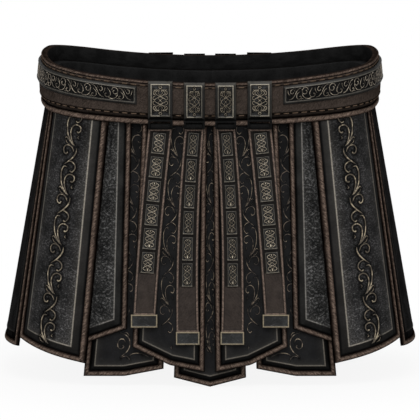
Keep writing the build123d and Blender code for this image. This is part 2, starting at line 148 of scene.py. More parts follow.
def faces_of(rows, columns, start, round_rows=False, round_columns=False):
    """Quads between neighbours of a grid, wrapping round where the sheet closes on itself."""
    i = np.arange(rows if round_rows else rows - 1)
    j = np.arange(columns if round_columns else columns - 1)
    i, j = np.meshgrid(i, j, indexing="ij")
    i2, j2 = (i + 1) % rows, (j + 1) % columns
    quads = np.stack([i * columns + j, i2 * columns + j, i2 * columns + j2, i * columns + j2], axis=-1)
    return quads.reshape(-1, 4) + start


pieces_made = []


def make_piece(name, sheets, material, body, stands_for=(), mirror=(1, 1), crease=38.0,
               round_rows=False, round_columns=False, weld=False):
    """Builds one mesh from sheets, hangs it on its body and gives it its finish.

    A sheet of three dimensions is one grid, and one of four is a row of grids. A mirrored copy
    has its x or y turned round, and its faces as well, so that they still point outwards.
    """
    points, flats, marks, faces, count = [], [], [[], [], []], [], 0
    for sheet in sheets:
        grids = sheet["points"].reshape((-1,) + sheet["points"].shape[-3:])
        rows, columns = grids.shape[1:3]
        base = faces_of(rows, columns, 0, round_rows, round_columns)
        offsets = count + np.arange(len(grids)) * rows * columns
        faces.append((base[None] + offsets[:, None, None]).reshape(-1, 4))
        points.append(grids.reshape(-1, 3))
        flats.append(sheet["flat"].reshape(-1, 2))
        for kind, values in zip(marks, sheet["marks"]):
            kind.append(values.reshape(-1))
        count += len(points[-1])
    points = np.concatenate(points) * 0.001 * np.array([mirror[0], mirror[1], 1.0])
    faces = np.concatenate(faces)
    if mirror[0] * mirror[1] < 0:
        faces = faces[:, ::-1]
    mesh = bpy.data.meshes.new(name)
    mesh.vertices.add(count)
    mesh.vertices.foreach_set("co", points.ravel())
    mesh.loops.add(faces.size)
    mesh.loops.foreach_set("vertex_index", faces.ravel())
    mesh.polygons.add(len(faces))
    mesh.polygons.foreach_set("loop_start", np.arange(len(faces)) * 4)
    mesh.update(calc_edges=True)
    for kind, values in zip(("wear_and_highlight", "shade", "polish"), marks):
        layer = mesh.attributes.new(kind, "FLOAT", "POINT")
        layer.data.foreach_set("value", np.concatenate(values).astype(np.float32))
    layer = mesh.uv_layers.new(name="UVMap")
    layer.data.foreach_set("uv", (np.concatenate(flats)[faces.ravel()] * 0.01).ravel())
    if weld:
        import bmesh

        bm = bmesh.new()
        bm.from_mesh(mesh)
        bmesh.ops.remove_doubles(bm, verts=bm.verts, dist=2e-6)
        bm.to_mesh(mesh)
        bm.free()
    mesh.shade_smooth()
    mesh.set_sharp_from_angle(angle=math.radians(crease))
    mesh.materials.append(material)
    piece = bpy.data.objects.new(name, mesh)
    bpy.context.scene.collection.objects.link(piece)
    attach(piece, body)
    if stands_for:
        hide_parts(*stands_for)
    pieces_made.append((name, len(mesh.polygons)))
    return piece


# %% [markdown]
# ## Finishes
# Each finish starts from the real material. All of them are node materials, so that grain,
# scratches and wear are worked out wherever the light falls and need no picture. One small
# function adds a node, and one turns a written colour into the linear light that the
# renderer works in.


# %% Node helpers
def linear(colour):
    """Linear RGBA of an sRGB hex colour: each channel through the sRGB curve."""
    channels = [int(colour[i:i + 2], 16) / 255 for i in (1, 3, 5)]
    return [c / 12.92 if c <= 0.04045 else ((c + 0.055) / 1.055) ** 2.4 for c in channels] + [1.0]


def add(tree, kind, inputs=(), **settings):
    """Adds a node, sets its properties, and fills its sockets with values or links."""
    node = tree.nodes.new(kind)
    for name, value in settings.items():
        setattr(node, name, value)
    for socket, value in dict(inputs).items():
        if isinstance(value, bpy.types.NodeSocket):
            tree.links.new(value, node.inputs[socket])
        else:
            node.inputs[socket].default_value = value
    return node


def start_finish(name):
    """An empty node material with its output, and a reader of the three marks."""
    material = bpy.data.materials.new(name)
    material.use_nodes = True
    tree = material.node_tree
    tree.nodes.clear()
    marks = {
        kind: add(tree, "ShaderNodeAttribute", attribute_name=kind).outputs["Fac"]
        for kind in ("wear_and_highlight", "shade", "polish")
    }
    return material, tree, add(tree, "ShaderNodeOutputMaterial"), marks


def blend_colours(tree, amount, first, second, how="MIX"):
    """Output of a node that mixes two colours."""
    node = add(tree, "ShaderNodeMix", data_type="RGBA", blend_type=how, clamp_factor=True)
    for socket, value in ((0, amount), (6, first), (7, second)):
        if isinstance(value, bpy.types.NodeSocket):
            tree.links.new(value, node.inputs[socket])
        else:
            node.inputs[socket].default_value = value
    return node.outputs[2]


def sums(tree, how, first, second, clamp=False):
    """Output of a node that does one sum with two numbers."""
    return add(tree, "ShaderNodeMath", {0: first, 1: second}, operation=how, use_clamp=clamp).outputs[0]


def band(tree, value, low, high, to_low=0.0, to_high=1.0):
    """Output of a node that spreads a range of numbers over another, smoothly."""
    inputs = {0: value, 1: low, 2: high, 3: to_low, 4: to_high}
    return add(tree, "ShaderNodeMapRange", inputs, interpolation_type="SMOOTHSTEP").outputs[0]


def turned(tree, place, turn, wide, long):
    """Places turned by an angle and shrunk, so that a noise becomes streaks of this width and length in mm."""
    inputs = {"Vector": place, "Rotation": (0.0, 0.0, turn), "Scale": (wide / 100, long / 100, 1.0)}
    return add(tree, "ShaderNodeMapping", inputs, vector_type="TEXTURE").outputs[0]


# %% [markdown]
# ### Vegetable-tanned leather, stained brown
# The rolled edges and the belt are cowhide, stained dark brown and waxed, and rubbed pale on
# the crests, which also carry a painted highlight, while painted shade darkens their flanks and
# the hollows. Close to, it has a pebbled grain of about 1.3 mm and a slanting pull where the
# hide was rolled over its core. The grain could be displaced geometry, but bump is enough at
# this size. Stained leather has an IOR near 1.5 and is fairly rough.


# %% Leather
def leather(name, deep, mid, rubbed_and_lit, grain=1.3, pull=1.8, slanting=0.5, roughness=0.62, gloss=0.2):
    """Leather with grain cells, a slanting pull, blotches, crests rubbed and given a painted highlight, and painted
    shade.
    """
    material, tree, output, marks = start_finish(name)
    place = add(tree, "ShaderNodeTexCoord").outputs["UV"]
    blotch = add(tree, "ShaderNodeTexNoise", {"Vector": place, "Scale": 100 / 16, "Detail": 5.0, "Roughness": 0.6})
    fine = add(tree, "ShaderNodeTexNoise", {"Vector": place, "Scale": 100 / 1.5, "Detail": 3.0, "Roughness": 0.6})
    cells = add(tree, "ShaderNodeTexVoronoi", {"Vector": place, "Scale": 100 / grain})
    slanted = turned(tree, place, -0.75, pull, pull * 4.5)
    slant = add(tree, "ShaderNodeTexNoise", {"Vector": slanted, "Scale": 1.0, "Detail": 3.0, "Roughness": 0.65})
    blotches = band(tree, blotch.outputs["Fac"], 0.35, 0.66)
    colour = blend_colours(tree, blotches, linear(deep), linear(mid))
    # Crests are lightened where the mark is high, for rubbing and for a painted highlight.
    rubbing_and_highlight = sums(tree, "MULTIPLY", marks["wear_and_highlight"], band(tree, fine.outputs["Fac"], 0.3, 0.62, 0.35, 1.0))
    rubbing_and_highlight = sums(tree, "MULTIPLY", rubbing_and_highlight, band(tree, slant.outputs["Fac"], 0.36, 0.62, 1.0 - slanting, 1.0))
    colour = blend_colours(tree, rubbing_and_highlight, colour, linear(rubbed_and_lit))
    pores = band(tree, cells.outputs["Distance"], 0.0, 0.55, 0.72, 1.0)
    colour = blend_colours(tree, 1.0, colour, pores, "MULTIPLY")
    # Painted shade: the shade mark darkens hollows and the flanks of beads.
    hollow_shade = band(tree, marks["shade"], 0.0, 1.0, 1.0, 0.1)
    colour = blend_colours(tree, 1.0, colour, hollow_shade, "MULTIPLY")
    relief_height = sums(tree, "ADD", sums(tree, "MULTIPLY", slant.outputs["Fac"], 0.55), cells.outputs["Distance"])
    relief_height = sums(tree, "ADD", relief_height, sums(tree, "MULTIPLY", fine.outputs["Fac"], 0.5))
    bump = add(tree, "ShaderNodeBump", {"Strength": 0.6, "Distance": 0.00028, "Height": relief_height})
    rough = band(tree, fine.outputs["Fac"], 0.3, 0.7, roughness - 0.1, roughness + 0.12)
    shader = add(
        tree,
        "ShaderNodeBsdfPrincipled",
        {
            "Base Color": colour,
            "Roughness": rough,
            "IOR": 1.5,
            "Specular IOR Level": gloss,
            "Normal": bump.outputs[0],
        },
    )
    tree.links.new(shader.outputs[0], output.inputs["Surface"])
    return material


rolled_leather = leather("rolled brown leather, waxed and rubbed", "#1c1613", "#352b26", "#937f72", pull=1.5, slanting=0.78, gloss=0.0)
belt_hide = leather("brown belt leather, waxed", "#231e1b", "#352e2a", "#63574f", grain=2.2, pull=1.5, slanting=0.45, gloss=0.0)
strap_hide = leather("brown strap leather", "#282321", "#3b3430", "#937f72", grain=2.0, pull=1.5, slanting=0.6, gloss=0.12)
lining_hide = leather("black lining leather", "#1c1c1c", "#272727", "#303030", 2.0, 3.0, 0.1, 0.9, 0.0)
black_hide = leather("black greased leather", "#040404", "#080707", "#0e0d0c", 1.3, 1.8, 0.2, 0.8, 0.15)
print("leathers:", [m.name for m in bpy.data.materials if "leather" in m.name])

# %% [markdown]
# ### Blackened steel, scoured and rubbed
# The plates are mild steel, blackened and then scoured, so the flat fields are mottled with
# pale specks and short scratches, while bevels are smooth and their ridges rubbed bright, with
# a painted highlight on top of the rubbing; painted shade darkens hollows and the ground beside
# raised work. A metal keeps the default IOR. The specks are about 1.5 mm across and the
# scratches 0.5 mm by 10 mm, drawn a little coarser than real so that they show from a few
# steps away.


# %% Steel
def steel(name, black, mid, speck, bright, mottle=0.62, speck_size=1.7, roughness=0.46, metallic=0.75, scratched=0.0, edge=0.3, gloss=0.15):
    """Blackened steel with specks, scratches, smooth bevels, ridges rubbed bright with a painted highlight, and painted
    shade.

    The higher scratched is, the more of the field the two crossing sets of scratches take up.
    """
    material, tree, output, marks = start_finish(name)
    place = add(tree, "ShaderNodeTexCoord").outputs["UV"]
    cloud = add(tree, "ShaderNodeTexNoise", {"Vector": place, "Scale": 100 / 24, "Detail": 4.0, "Roughness": 0.6})
    grit = add(
        tree, "ShaderNodeTexNoise", {"Vector": place, "Scale": 100 / speck_size, "Detail": 6.0, "Roughness": 0.75}
    )
    slanted = turned(tree, place, 1.0, 1.5, 9.0)
    scratch = add(tree, "ShaderNodeTexNoise", {"Vector": slanted, "Scale": 1.0, "Detail": 3.0, "Roughness": 0.7})
    crossed = turned(tree, place, -1.25, 1.3, 7.0)
    scratch_back = add(tree, "ShaderNodeTexNoise", {"Vector": crossed, "Scale": 1.0, "Detail": 3.0, "Roughness": 0.7})
    field = sums(tree, "SUBTRACT", 1.0, marks["polish"], True)
    density = band(tree, cloud.outputs["Fac"], 0.34, 0.68, 0.25, 1.0)
    specks = sums(tree, "MULTIPLY", band(tree, grit.outputs["Fac"], 0.48, 0.7), density)
    lines = sums(
        tree,
        "MAXIMUM",
        band(tree, scratch.outputs["Fac"], 0.62 - scratched, 0.74),
        band(tree, scratch_back.outputs["Fac"], 0.64 - scratched, 0.76),
    )
    scoured = sums(tree, "ADD", sums(tree, "MULTIPLY", specks, mottle), sums(tree, "MULTIPLY", lines, 0.4 + scratched), True)
    scoured = sums(tree, "MULTIPLY", scoured, band(tree, field, 0.0, 1.0, 0.06, 1.0))
    colour = blend_colours(tree, band(tree, cloud.outputs["Fac"], 0.3, 0.7), linear(black), linear(mid))
    colour = blend_colours(tree, scoured, colour, linear(speck))
    # Ridges are lightened where the mark is high, for rubbing and for a painted highlight.
    rubbing_and_highlight = sums(tree, "MULTIPLY", marks["wear_and_highlight"], band(tree, grit.outputs["Fac"], 0.32, 0.6, 0.45, 1.0))
    colour = blend_colours(tree, rubbing_and_highlight, colour, linear(bright))
    # Painted shade from the shade mark, in hollows and beside raised work.
    colour = blend_colours(tree, 1.0, colour, band(tree, marks["shade"], 0.0, 1.0, 1.0, 0.22), "MULTIPLY")
    height = sums(tree, "ADD", sums(tree, "MULTIPLY", grit.outputs["Fac"], field), sums(tree, "MULTIPLY", lines, -0.4))
    bump = add(tree, "ShaderNodeBump", {"Strength": 0.45, "Distance": 0.0002, "Height": height})
    rough = band(tree, grit.outputs["Fac"], 0.3, 0.7, roughness - 0.08, roughness + 0.14)
    shader = add(
        tree,
        "ShaderNodeBsdfPrincipled",
        {
            "Base Color": colour,
            "Metallic": metallic,
            "Roughness": rough,
            "Specular IOR Level": gloss,
            "Specular Tint": (edge, edge, edge, 1.0),
            "Normal": bump.outputs[0],
        },
    )
    tree.links.new(shader.outputs[0], output.inputs["Surface"])
    return material


scoured_steel = steel("blackened steel, scoured", "#1b1b1b", "#2c2b2b", "#8c8b8b", "#a59e92", mottle=0.75, scratched=0.05)
brushed_steel = steel("dark steel, brushed and scratched", "#151515", "#2a2a29", "#aeadac", "#a39f98", mottle=0.62, speck_size=2.4, scratched=0.03)
smooth_steel = steel("blackened steel, smooth", "#191919", "#212122", "#454544", "#8c857a", mottle=0.25)
# The side panels get a darker, matt copy of the blackened steel: its darker colours are painted shade for the flanks,
# which turn away from the light.
shaded_flank_steel = steel("blackened steel of the flanks, darkened as painted shade", "#151414", "#222121", "#4f4f50", "#4f4c48", mottle=0.6, metallic=0.15, edge=0.0, gloss=0.0)
cast_steel = steel("cast steel, with painted shade in its recesses", "#272727", "#3b3b3b", "#858584", "#c4bba9", mottle=0.4)
cap_steel = steel("dark steel caps, edges rubbed", "#252525", "#353636", "#777777", "#b5a78d", mottle=0.3, scratched=0.04)
black_iron = steel("blackened iron", "#0c0c0c", "#161616", "#2b2b2b", "#3c3a37", mottle=0.3, metallic=0.4)
print("steels:", [m.name for m in bpy.data.materials if "steel" in m.name or "iron" in m.name])

# %% [markdown]
# ### Rubbed nickel brass
# The scrolls are strips of nickel brass hammered on to the plates. They are brown-black at
# the foot, where the blackening stayed, and pale yellowish grey along the crest. The mark of
# wear and highlight runs from foot to crest, so one material gives both.


# %% Scroll metal
def scroll_metal(name, foot, body, crest, kept=0.6):
    """Metal that brightens from foot to crest, broken up by a 1.2 mm noise and, in patches 6 mm long, less rubbed."""
    material, tree, output, marks = start_finish(name)
    place = add(tree, "ShaderNodeTexCoord").outputs["UV"]
    fine = add(tree, "ShaderNodeTexNoise", {"Vector": place, "Scale": 100 / 1.2, "Detail": 4.0, "Roughness": 0.7})
    patch = add(tree, "ShaderNodeTexNoise", {"Vector": place, "Scale": 100 / 6, "Detail": 3.0})
    rubbing_and_highlight = sums(tree, "MULTIPLY", marks["wear_and_highlight"], band(tree, fine.outputs["Fac"], 0.25, 0.55, 0.6, 1.0))
    rubbing_and_highlight = sums(tree, "MULTIPLY", rubbing_and_highlight, band(tree, patch.outputs["Fac"], 0.42, 0.58, kept, 1.0))
    colour = blend_colours(tree, band(tree, rubbing_and_highlight, 0.05, 0.5), linear(foot), linear(body))
    patchy = sums(tree, "MULTIPLY", band(tree, rubbing_and_highlight, 0.45, 1.0), band(tree, patch.outputs["Fac"], 0.3, 0.6, 0.5, 1.0))
    colour = blend_colours(tree, patchy, colour, linear(crest))
    bump = add(tree, "ShaderNodeBump", {"Strength": 0.3, "Distance": 0.0001, "Height": fine.outputs["Fac"]})
    shader = add(
        tree,
        "ShaderNodeBsdfPrincipled",
        {"Base Color": colour, "Metallic": 0.55, "Roughness": 0.5, "Normal": bump.outputs[0]},
    )
    tree.links.new(shader.outputs[0], output.inputs["Surface"])
    return material


vine_metal = scroll_metal("nickel brass, rubbed", "#141210", "#5d5447", "#c0b298", 0.5)
fine_metal = scroll_metal("nickel brass inlay, dull", "#26221d", "#71655a", "#b9aa90", 0.2)
knot_metal = scroll_metal("cast steel knotwork, rubbed", "#1c1a18", "#958b7a", "#f2e6cf", 0.7)
relief_metal = scroll_metal("cast scroll relief, dull", "#100e0c", "#665e53", "#cdc0ab")
# A darker, browner scroll metal for the side under panels.
hide_relief = scroll_metal("dark brown scroll relief", "#1a1411", "#4a3d35", "#6e5c50")
thread = leather("brown waxed linen thread", "#35291f", "#4a3d34", "#85715f", 0.8, 1.6, 0.3, 0.8, 0.0)
print("scroll metals ready")

# %% [markdown]
# ## A framed sheet
# Panels, strap tongues and plates are all a flat shape with a frame that follows its edge: a
# rolled bead, or a bevel with mitred corners. A bevel modifier could make one, but not a
# rolled one that dies away under the belt. So one function lays out a grid whose outer
# columns and rows lie at chosen distances inside the outline, and each distance has its own
# height above the piece's back.


# %% Framed sheet
def framed_sheet(outline, steps, columns, rows, framed_top=False, start=-100.0):
    """Places across and up, height and step number of a grid with a frame round it.

    A column of the frame is the side line moved in by its step, and an inner column a share of
    the way between the innermost two. Rows work the same way. Each point is where its column
    and its row cross, found by putting one into the other a few times. The height of a point
    is that of the smaller of its column's and its row's step, which mitres the corners.
    """
    left, right, low, high = outline
    margin = np.array([step[0] for step in steps])
    height = np.array([step[1] for step in steps])
    last = len(steps) - 1
    frame_steps = np.arange(last + 1)
    column_step = np.concatenate([frame_steps, np.full(columns - 1, last), frame_steps[::-1]])
    column_share = np.concatenate([np.zeros(last + 1), np.arange(1, columns) / columns, np.ones(last + 1)])
    top_step = frame_steps if framed_top else np.full(1, last)
    row_step = np.concatenate([top_step, np.full(rows - 1, last), frame_steps[::-1]])
    row_share = np.concatenate([np.zeros(len(top_step)), np.arange(1, rows) / rows, np.ones(last + 1)])
    column_margin, row_margin = margin[column_step][None], margin[row_step][:, None]
    row_share = row_share[:, None]
    z = np.full((len(row_step), len(column_step)), start)
    for _ in range(9):
        across = left(z, column_margin) * (1 - column_share) + right(z, column_margin) * column_share
        top_margin = row_margin if framed_top else 0.0
        z = high(across, top_margin) * (1 - row_share) + low(across, row_margin) * row_share
    index = np.minimum(column_step[None], row_step[:, None])
    return across, z, height[index], index


def back_sheet(outline, steps, columns, rows, lap, framed_top=False, start=-100.0):
    """The same grid laid flat on the back and turned round, which closes a framed sheet into a solid."""
    flat_steps = [(max(margin, lap), 0.0) for margin, height in steps]
    return framed_sheet(outline, flat_steps, columns, rows, framed_top, start)


def half_round(width, foot, crest, count=7):
    """Steps of a bead: a half ellipse as wide as the bead, from its foot over its crest."""
    turn = np.linspace(0, math.pi, count)
    return [(width / 2 * (1 - math.cos(t)), foot + (crest - foot) * math.sin(t)) for t in turn]


# %% [markdown]
# ## The panels' outlines
# A panel's long edges run straight down the flare and its lower edge is two straight runs.
# They are drawn on an upright plane that the panel faces, the way a pattern cutter lays the
# panel flat, and carried on to the skirt from there.

# %% Outlines
panel_thickness, bead_width, hang_gap = 4.0, 6.0, 0.6
belt_side_rise, rim_side_rise, skirt_length = 11.5, 18.5, 277.5
outer_layer, middle_layer, inner_layer = 0.0, 4.8, 9.6
panel_kinds = {
    "front": (outer_layer, 2.0, (0.2, 0.33), (4.75, 4.5), ((0.0, 0.939), (0.48, 0.913), (1.0, 0.845))),
    "middle": (middle_layer, 6.6, (5.57, 4.8), (12.0, 12.0), ((0.0, 0.778), (1.0, 0.857))),
    "corner": (outer_layer, 38.0, (7.23, 7.28), (77.8, 62.0), ((0.0, 0.914), (0.457, 0.876), (1.0, 0.835))),
    "side": (outer_layer, 90.0, (80.5, 65.6), (99.5, 114.4), ((0.0, 0.866), (0.5, 0.886), (1.0, 0.866))),
    "under": (inner_layer, 5.0, (2.7, 2.7), (7.3, 7.3), ((0.0, 0.932), (0.485, 0.961), (1.0, 0.963))),
    "centre": (inner_layer, 0.0, (2.0, 2.08), (-2.0, -2.08), ((0.0, 0.965), (0.5, 1.0), (1.0, 0.965))),
    "side_under": (inner_layer, 90.0, (65.0, 53.0), (115.0, 127.0), ((0.0, 0.845), (0.5, 0.862), (1.0, 0.845))),
}
panel_kinds["centre"] = (inner_layer, 0.0, (-2.0, -2.08), (2.0, 2.08), panel_kinds["centre"][4])


def saddle(x, rise):
    """How much higher a belt edge lies at a place, growing with the square of the distance from the middle."""
    return rise * (x / half_width) ** 2


def panel_outline(kind):
    """The four edge functions of a panel. Each takes places and a margin by which the edge moves inwards."""
    inset, facing_degrees, first, last, shares = panel_kinds[kind]
    facing = math.radians(facing_degrees)

    def edge(angles):
        """A straight edge as place across at height 0, and its slope."""
        ends = []
        for angle, z in zip(angles, (20.0, -290.0)):
            x, y = waist_line(math.radians(angle), z, inset)
            ends.append(float(x * math.cos(facing) - y * math.sin(facing)))
        slope = (ends[0] - ends[1]) / 310.0
        return ends[0] - 20.0 * slope, slope

    (right_at, right_slope), (left_at, left_slope) = edge(first), edge(last)

    def left(z, margin):
        return left_at + left_slope * z + margin * math.hypot(1, left_slope)

    def right(z, margin):
        return right_at + right_slope * z - margin * math.hypot(1, right_slope)

    corners = []
    for across_share, drop_share in shares:
        z = -skirt_length * drop_share
        corners.append((right(z, 0) + (left(z, 0) - right(z, 0)) * across_share, z))
    runs = []
    for (a0, z0), (a1, z1) in zip(corners[:-1], corners[1:]):
        slope = (z1 - z0) / (a1 - a0)
        runs.append((z0 - slope * a0, slope))

    def low(across, margin):
        lines = [at + slope * across + margin * math.hypot(1, slope) for at, slope in runs]
        if len(lines) == 1:
            return lines[0]
        bulges = corners[1][1] < (corners[0][1] + corners[2][1]) / 2
        return np.maximum(*lines) if bulges else np.minimum(*lines)

    sample = np.linspace(left(0.0, 0) - 12, right(0.0, 0) + 12, 120)
    top = np.zeros(120)
    for _ in range(4):
        top = saddle(skirt_point(sample, top, inset, facing)[:, 0], belt_side_rise) - hang_gap

    def high(across, margin):
        return np.interp(across, sample, top) - margin

    return left, right, low, high


def panel_skin(kind):
    """Function from place across, height z and rise above the panel's back to a point."""
    inset, facing_degrees = panel_kinds[kind][:2]

    def skin(across, z, rise):
        return skirt_point(across, z, inset + panel_thickness - rise, math.radians(facing_degrees))

    return skin


print("corner panel, width at the top and the hem:",
      [round(float(panel_outline("corner")[1](z, 0) - panel_outline("corner")[0](z, 0)), 1) for z in (0, -230)])

# %% [markdown]
# ## Leather and steel of a panel
# The leather is rolled over a cord all round, which gives the half-round bead, and its back
# is flat; the bead's crest is rubbed and given a painted highlight, and its flanks and foot
# carry painted shade. The steel plate lies in the tray between the beads: it rises along a
# bevel to a ridge, rubbed and given a painted highlight, and is flat inside it, with painted
# shade along its hollows. Both come from the same framed sheet with other steps.


# %% Panel sheets
def panel_leather(kind, columns=24, rows=44):
    """Front with its bead, back, and the strip that closes the top."""
    outline, skin = panel_outline(kind), panel_skin(kind)
    bead = half_round(bead_width, 1.7, panel_thickness, 11)
    steps = [(0.5, 0.0), (0.0, 0.5)] + bead + [(bead_width + 0.1, 1.6)]
    turns = np.linspace(0, math.pi, 11)
    # The bead's crest is rubbed and given a painted highlight; its flanks and foot get painted shade.
    wear_and_highlight = np.array([0.0, 0.0] + [max(0.0, math.sin(t)) ** 5 for t in turns] + [0.0])
    shade = np.array([0.9, 0.8] + [0.95 * (1 - max(0.0, math.sin(t))) ** 0.75 for t in turns] + [1.0])
    across, z, rise, index = framed_sheet(outline, steps, columns, rows)
    front = sheet_of(skin(across, z, rise), np.stack([across, z], -1), wear_and_highlight[index], shade[index])
    across, z, rise, index = back_sheet(outline, steps, columns, rows, 0.5)
    back = sheet_of(skin(across, z, rise)[:, ::-1], np.stack([across, z], -1)[:, ::-1], 0.15)
    lid_points = np.stack([back["points"][0, ::-1], front["points"][0]])
    lid = sheet_of(lid_points, np.stack([front["flat"][0]] * 2))
    return [front, back, lid]


def panel_plate(kind, bevel, columns, rows, strokes, reach, rubbed_and_lit, outer_side_light):
    """Bevelled plate, its ridge rubbed and given a painted highlight, less on its outer side, with painted shade at the
    foot of its bevel, across towards its outer side, low down its bevel, under the belt and beside the scroll that it
    carries.
    """
    outline, skin = panel_outline(kind), panel_skin(kind)
    ridge = bead_width + bevel
    steps = [(6.2, 1.5), (6.2, 1.9), (7.2, 2.25), (8.4, 2.6), (ridge - 0.9, 3.4), (ridge - 0.3, 3.58),
             (ridge + 0.3, 3.58), (ridge + 0.9, 3.42), (ridge + 1.6, 3.32), (ridge + 4.0, 3.3), (ridge + 9.0, 3.3)]
    # The small wear on the bevel's lower steps is a painted highlight where the bevel faces the light; the shade at its
    # foot is painted shade.
    wear_and_highlight = np.array([0, 0.0, 0.0, 0.03, 0.05, 0.85, 0.85, 0.12, 0.06, 0.03, 0.0]) * rubbed_and_lit
    shade = np.array([1, 1, 0.85, 0.35, 0, 0, 0, 0, 0, 0, 0])
    polish = np.array([1, 1, 1, 1, 1, 0.7, 0.3, 0, 0, 0, 0])
    across, z, rise, index = framed_sheet(outline, steps, columns, rows)
    flat = np.stack([across, z], -1)
    dark = shade[index]
    middle = (outline[0](z, 0) + outline[1](z, 0)) / 2
    # Painted highlight: the ridge on the outer side is dimmer than on the inner side.
    wear_and_highlight = wear_and_highlight[index] * np.where(across < middle, outer_side_light, 1.0)
    outwards = (outline[1](z, 0) - across) / (outline[1](z, 0) - outline[0](z, 0))
    # Painted shade: darker across towards the outer side, down the bevel towards the hem, on the field just under the
    # belt, and on the ground beside the scroll.
    dark = np.maximum(dark, (1 - outer_side_light) * outwards)
    dark = np.maximum(dark, 0.7 * polish[index] * np.clip(-z / skirt_length, 0, 1))
    dark = np.maximum(dark, 0.5 * (1 - polish[index]) * np.clip(1 + z / 70.0, 0, 1))
    if strokes is not None:
        dark = np.maximum(dark, ground_shade(flat, strokes, reach))
    return [sheet_of(skin(across, z, rise), flat, wear_and_highlight, dark, polish[index])]


def ground_shade(flat, strokes, reach):
    """Painted shade on the ground beside a scroll: 1 along the strokes, fading out over a distance."""
    lines = strokes[..., :2].reshape(-1, 2)
    shade = np.zeros(flat.shape[:-1])
    for row in range(len(flat)):
        near = lines[np.abs(lines[:, 1] - flat[row, :, 1].mean()) < 40.0]
        if len(near):
            apart = np.linalg.norm(flat[row, :, None] - near[None], axis=-1).min(1)
            shade[row] = np.clip(1.25 - apart / reach, 0, 1)
    return shade


# %% [markdown]
# ## Scrollwork
# The ornament is the common running vine of old metalwork: an S-shaped stem with curls that
# roll off to either side. A stroke is a smooth line through a few places with a thickness at
# each, given a half-round back and rounded ends. It could be curve objects with a bevel, but
# they wouldn't bend over the flare of the panel, and this way the plate beneath knows where
# the strokes lie.

# %% Strokes
# Each row is place across, place down and half thickness, in millimetres, for a 52 mm repeat
vine_repeat = 52.6
vine_unit = (
    ((-3.0, 1.0, 0.5), (-7.5, 0.8, 0.9), (-9.6, 6.0, 1.0), (-9.2, 12.5, 1.0), (-7.0, 20.0, 1.0), (-2.0, 27.0, 0.9), (3.0, 31.5, 0.4)),
    ((1.5, 30.5, 0.4), (-2.6, 23.0, 0.9), (-4.2, 16.0, 1.0), (-2.4, 10.8, 1.0), (2.0, 8.8, 1.0), (6.8, 11.0, 0.9), (7.4, 15.2, 0.9), (4.9, 17.0, 1.1), (3.2, 15.4, 1.0)),
    ((-3.4, -5.3, 0.4), (1.4, -4.6, 0.8), (5.6, -1.6, 0.9), (6.6, 2.8, 0.9), (3.6, 6.4, 0.9), (0.4, 4.8, 0.9)),
    ((-10.6, 24.0, 0.4), (-8.4, 22.4, 0.8), (-4.0, 26.0, 0.8), (0.6, 30.6, 0.4)),
    ((-9.8, 24.8, 0.3), (-7.2, 28.2, 0.6), (-3.0, 30.0, 0.3)),
    ((3.0, 38.4, 0.4), (0.2, 33.2, 0.8), (-4.0, 30.8, 0.9), (-8.2, 31.0, 0.9), (-10.6, 34.4, 0.9), (-9.4, 38.6, 0.9), (-6.0, 39.8, 1.1), (-4.8, 37.6, 1.0)),
    ((5.4, 33.0, 0.3), (5.4, 38.0, 0.9), (3.2, 42.6, 1.2), (-1.4, 47.0, 1.0), (-8.4, 51.6, 0.3)),
    ((6.6, 24.0, 0.3), (5.2, 22.4, 0.7), (6.4, 20.4, 0.3)),
)
closing_curl = (
    ((-4.3, -12.6, 0.5), (3.0, -10.4, 1.1), (8.4, -5.6, 1.4), (9.6, 1.6, 1.5), (6.4, 8.0, 1.4), (-1.0, 13.7, 0.5)),
    ((4.6, -1.4, 0.6), (1.8, -5.4, 1.3), (-2.6, -5.2, 1.4), (-5.0, -1.4, 1.3), (-4.0, 3.2, 1.3), (-0.4, 4.9, 1.3), (2.4, 2.6, 1.5), (0.8, 0.4, 2.0)),
    ((2.4, -13.2, 0.4), (6.0, -11.6, 1.0), (8.6, -8.0, 0.4)),
    ((8.6, 12.6, 0.4), (14.0, 9.8, 1.2), (20.0, 9.0, 1.4), (27.0, 10.2, 1.1), (34.0, 13.6, 0.4)),
    ((-1.0, 14.0, 0.4), (6.0, 12.4, 1.0), (10.6, 15.6, 0.9), (12.2, 18.6, 0.4)),
)


def smooth_line(points, count=26):
    """Smooth line through the points: on each stretch, the cubic whose end slopes run between the neighbours."""
    p = np.asarray(points, float)
    p = np.vstack([2 * p[0] - p[1], p, 2 * p[-1] - p[-2]])
    t = np.linspace(0, len(points) - 1, count)
    k = np.minimum(t.astype(int), len(points) - 2)
    f = (t - k)[:, None]
    a, b, c, d = p[k], p[k + 1], p[k + 2], p[k + 3]
    return 0.5 * (2 * b + (c - a) * f + (2 * a - 5 * b + 4 * c - d) * f ** 2 + (3 * b - a - 3 * c + d) * f ** 3)


def vine(axis, top, length, scale=1.0, wide=1.0, thick=1.0, curl_at=None):
    """Strokes of a vine that runs down an axis, given as place across for a height.

    A unit's strokes are smoothed once, then copied down the axis at every repeat. Strokes that
    would pass the end are left out.
    """
    unit = np.stack([smooth_line(stroke) for stroke in vine_unit])
    strokes = []
    for number in range(int(length / (vine_repeat * scale)) + 1):
        copy = unit.copy()
        copy[..., 1] = (copy[..., 1] + number * vine_repeat) * scale
        strokes.append(copy[copy[..., 1].max(1) < length])
    strokes = np.concatenate(strokes)
    if curl_at is not None:
        curl = np.stack([smooth_line(stroke) for stroke in closing_curl])
        curl[..., 1] += curl_at / scale
        curl[..., 1] *= scale
        strokes = np.concatenate([strokes, curl])
    strokes[..., 2] *= thick * scale
    z = top - strokes[..., 1]
    return np.stack([axis(z) + strokes[..., 0] * scale * wide, z, strokes[..., 2]], -1)


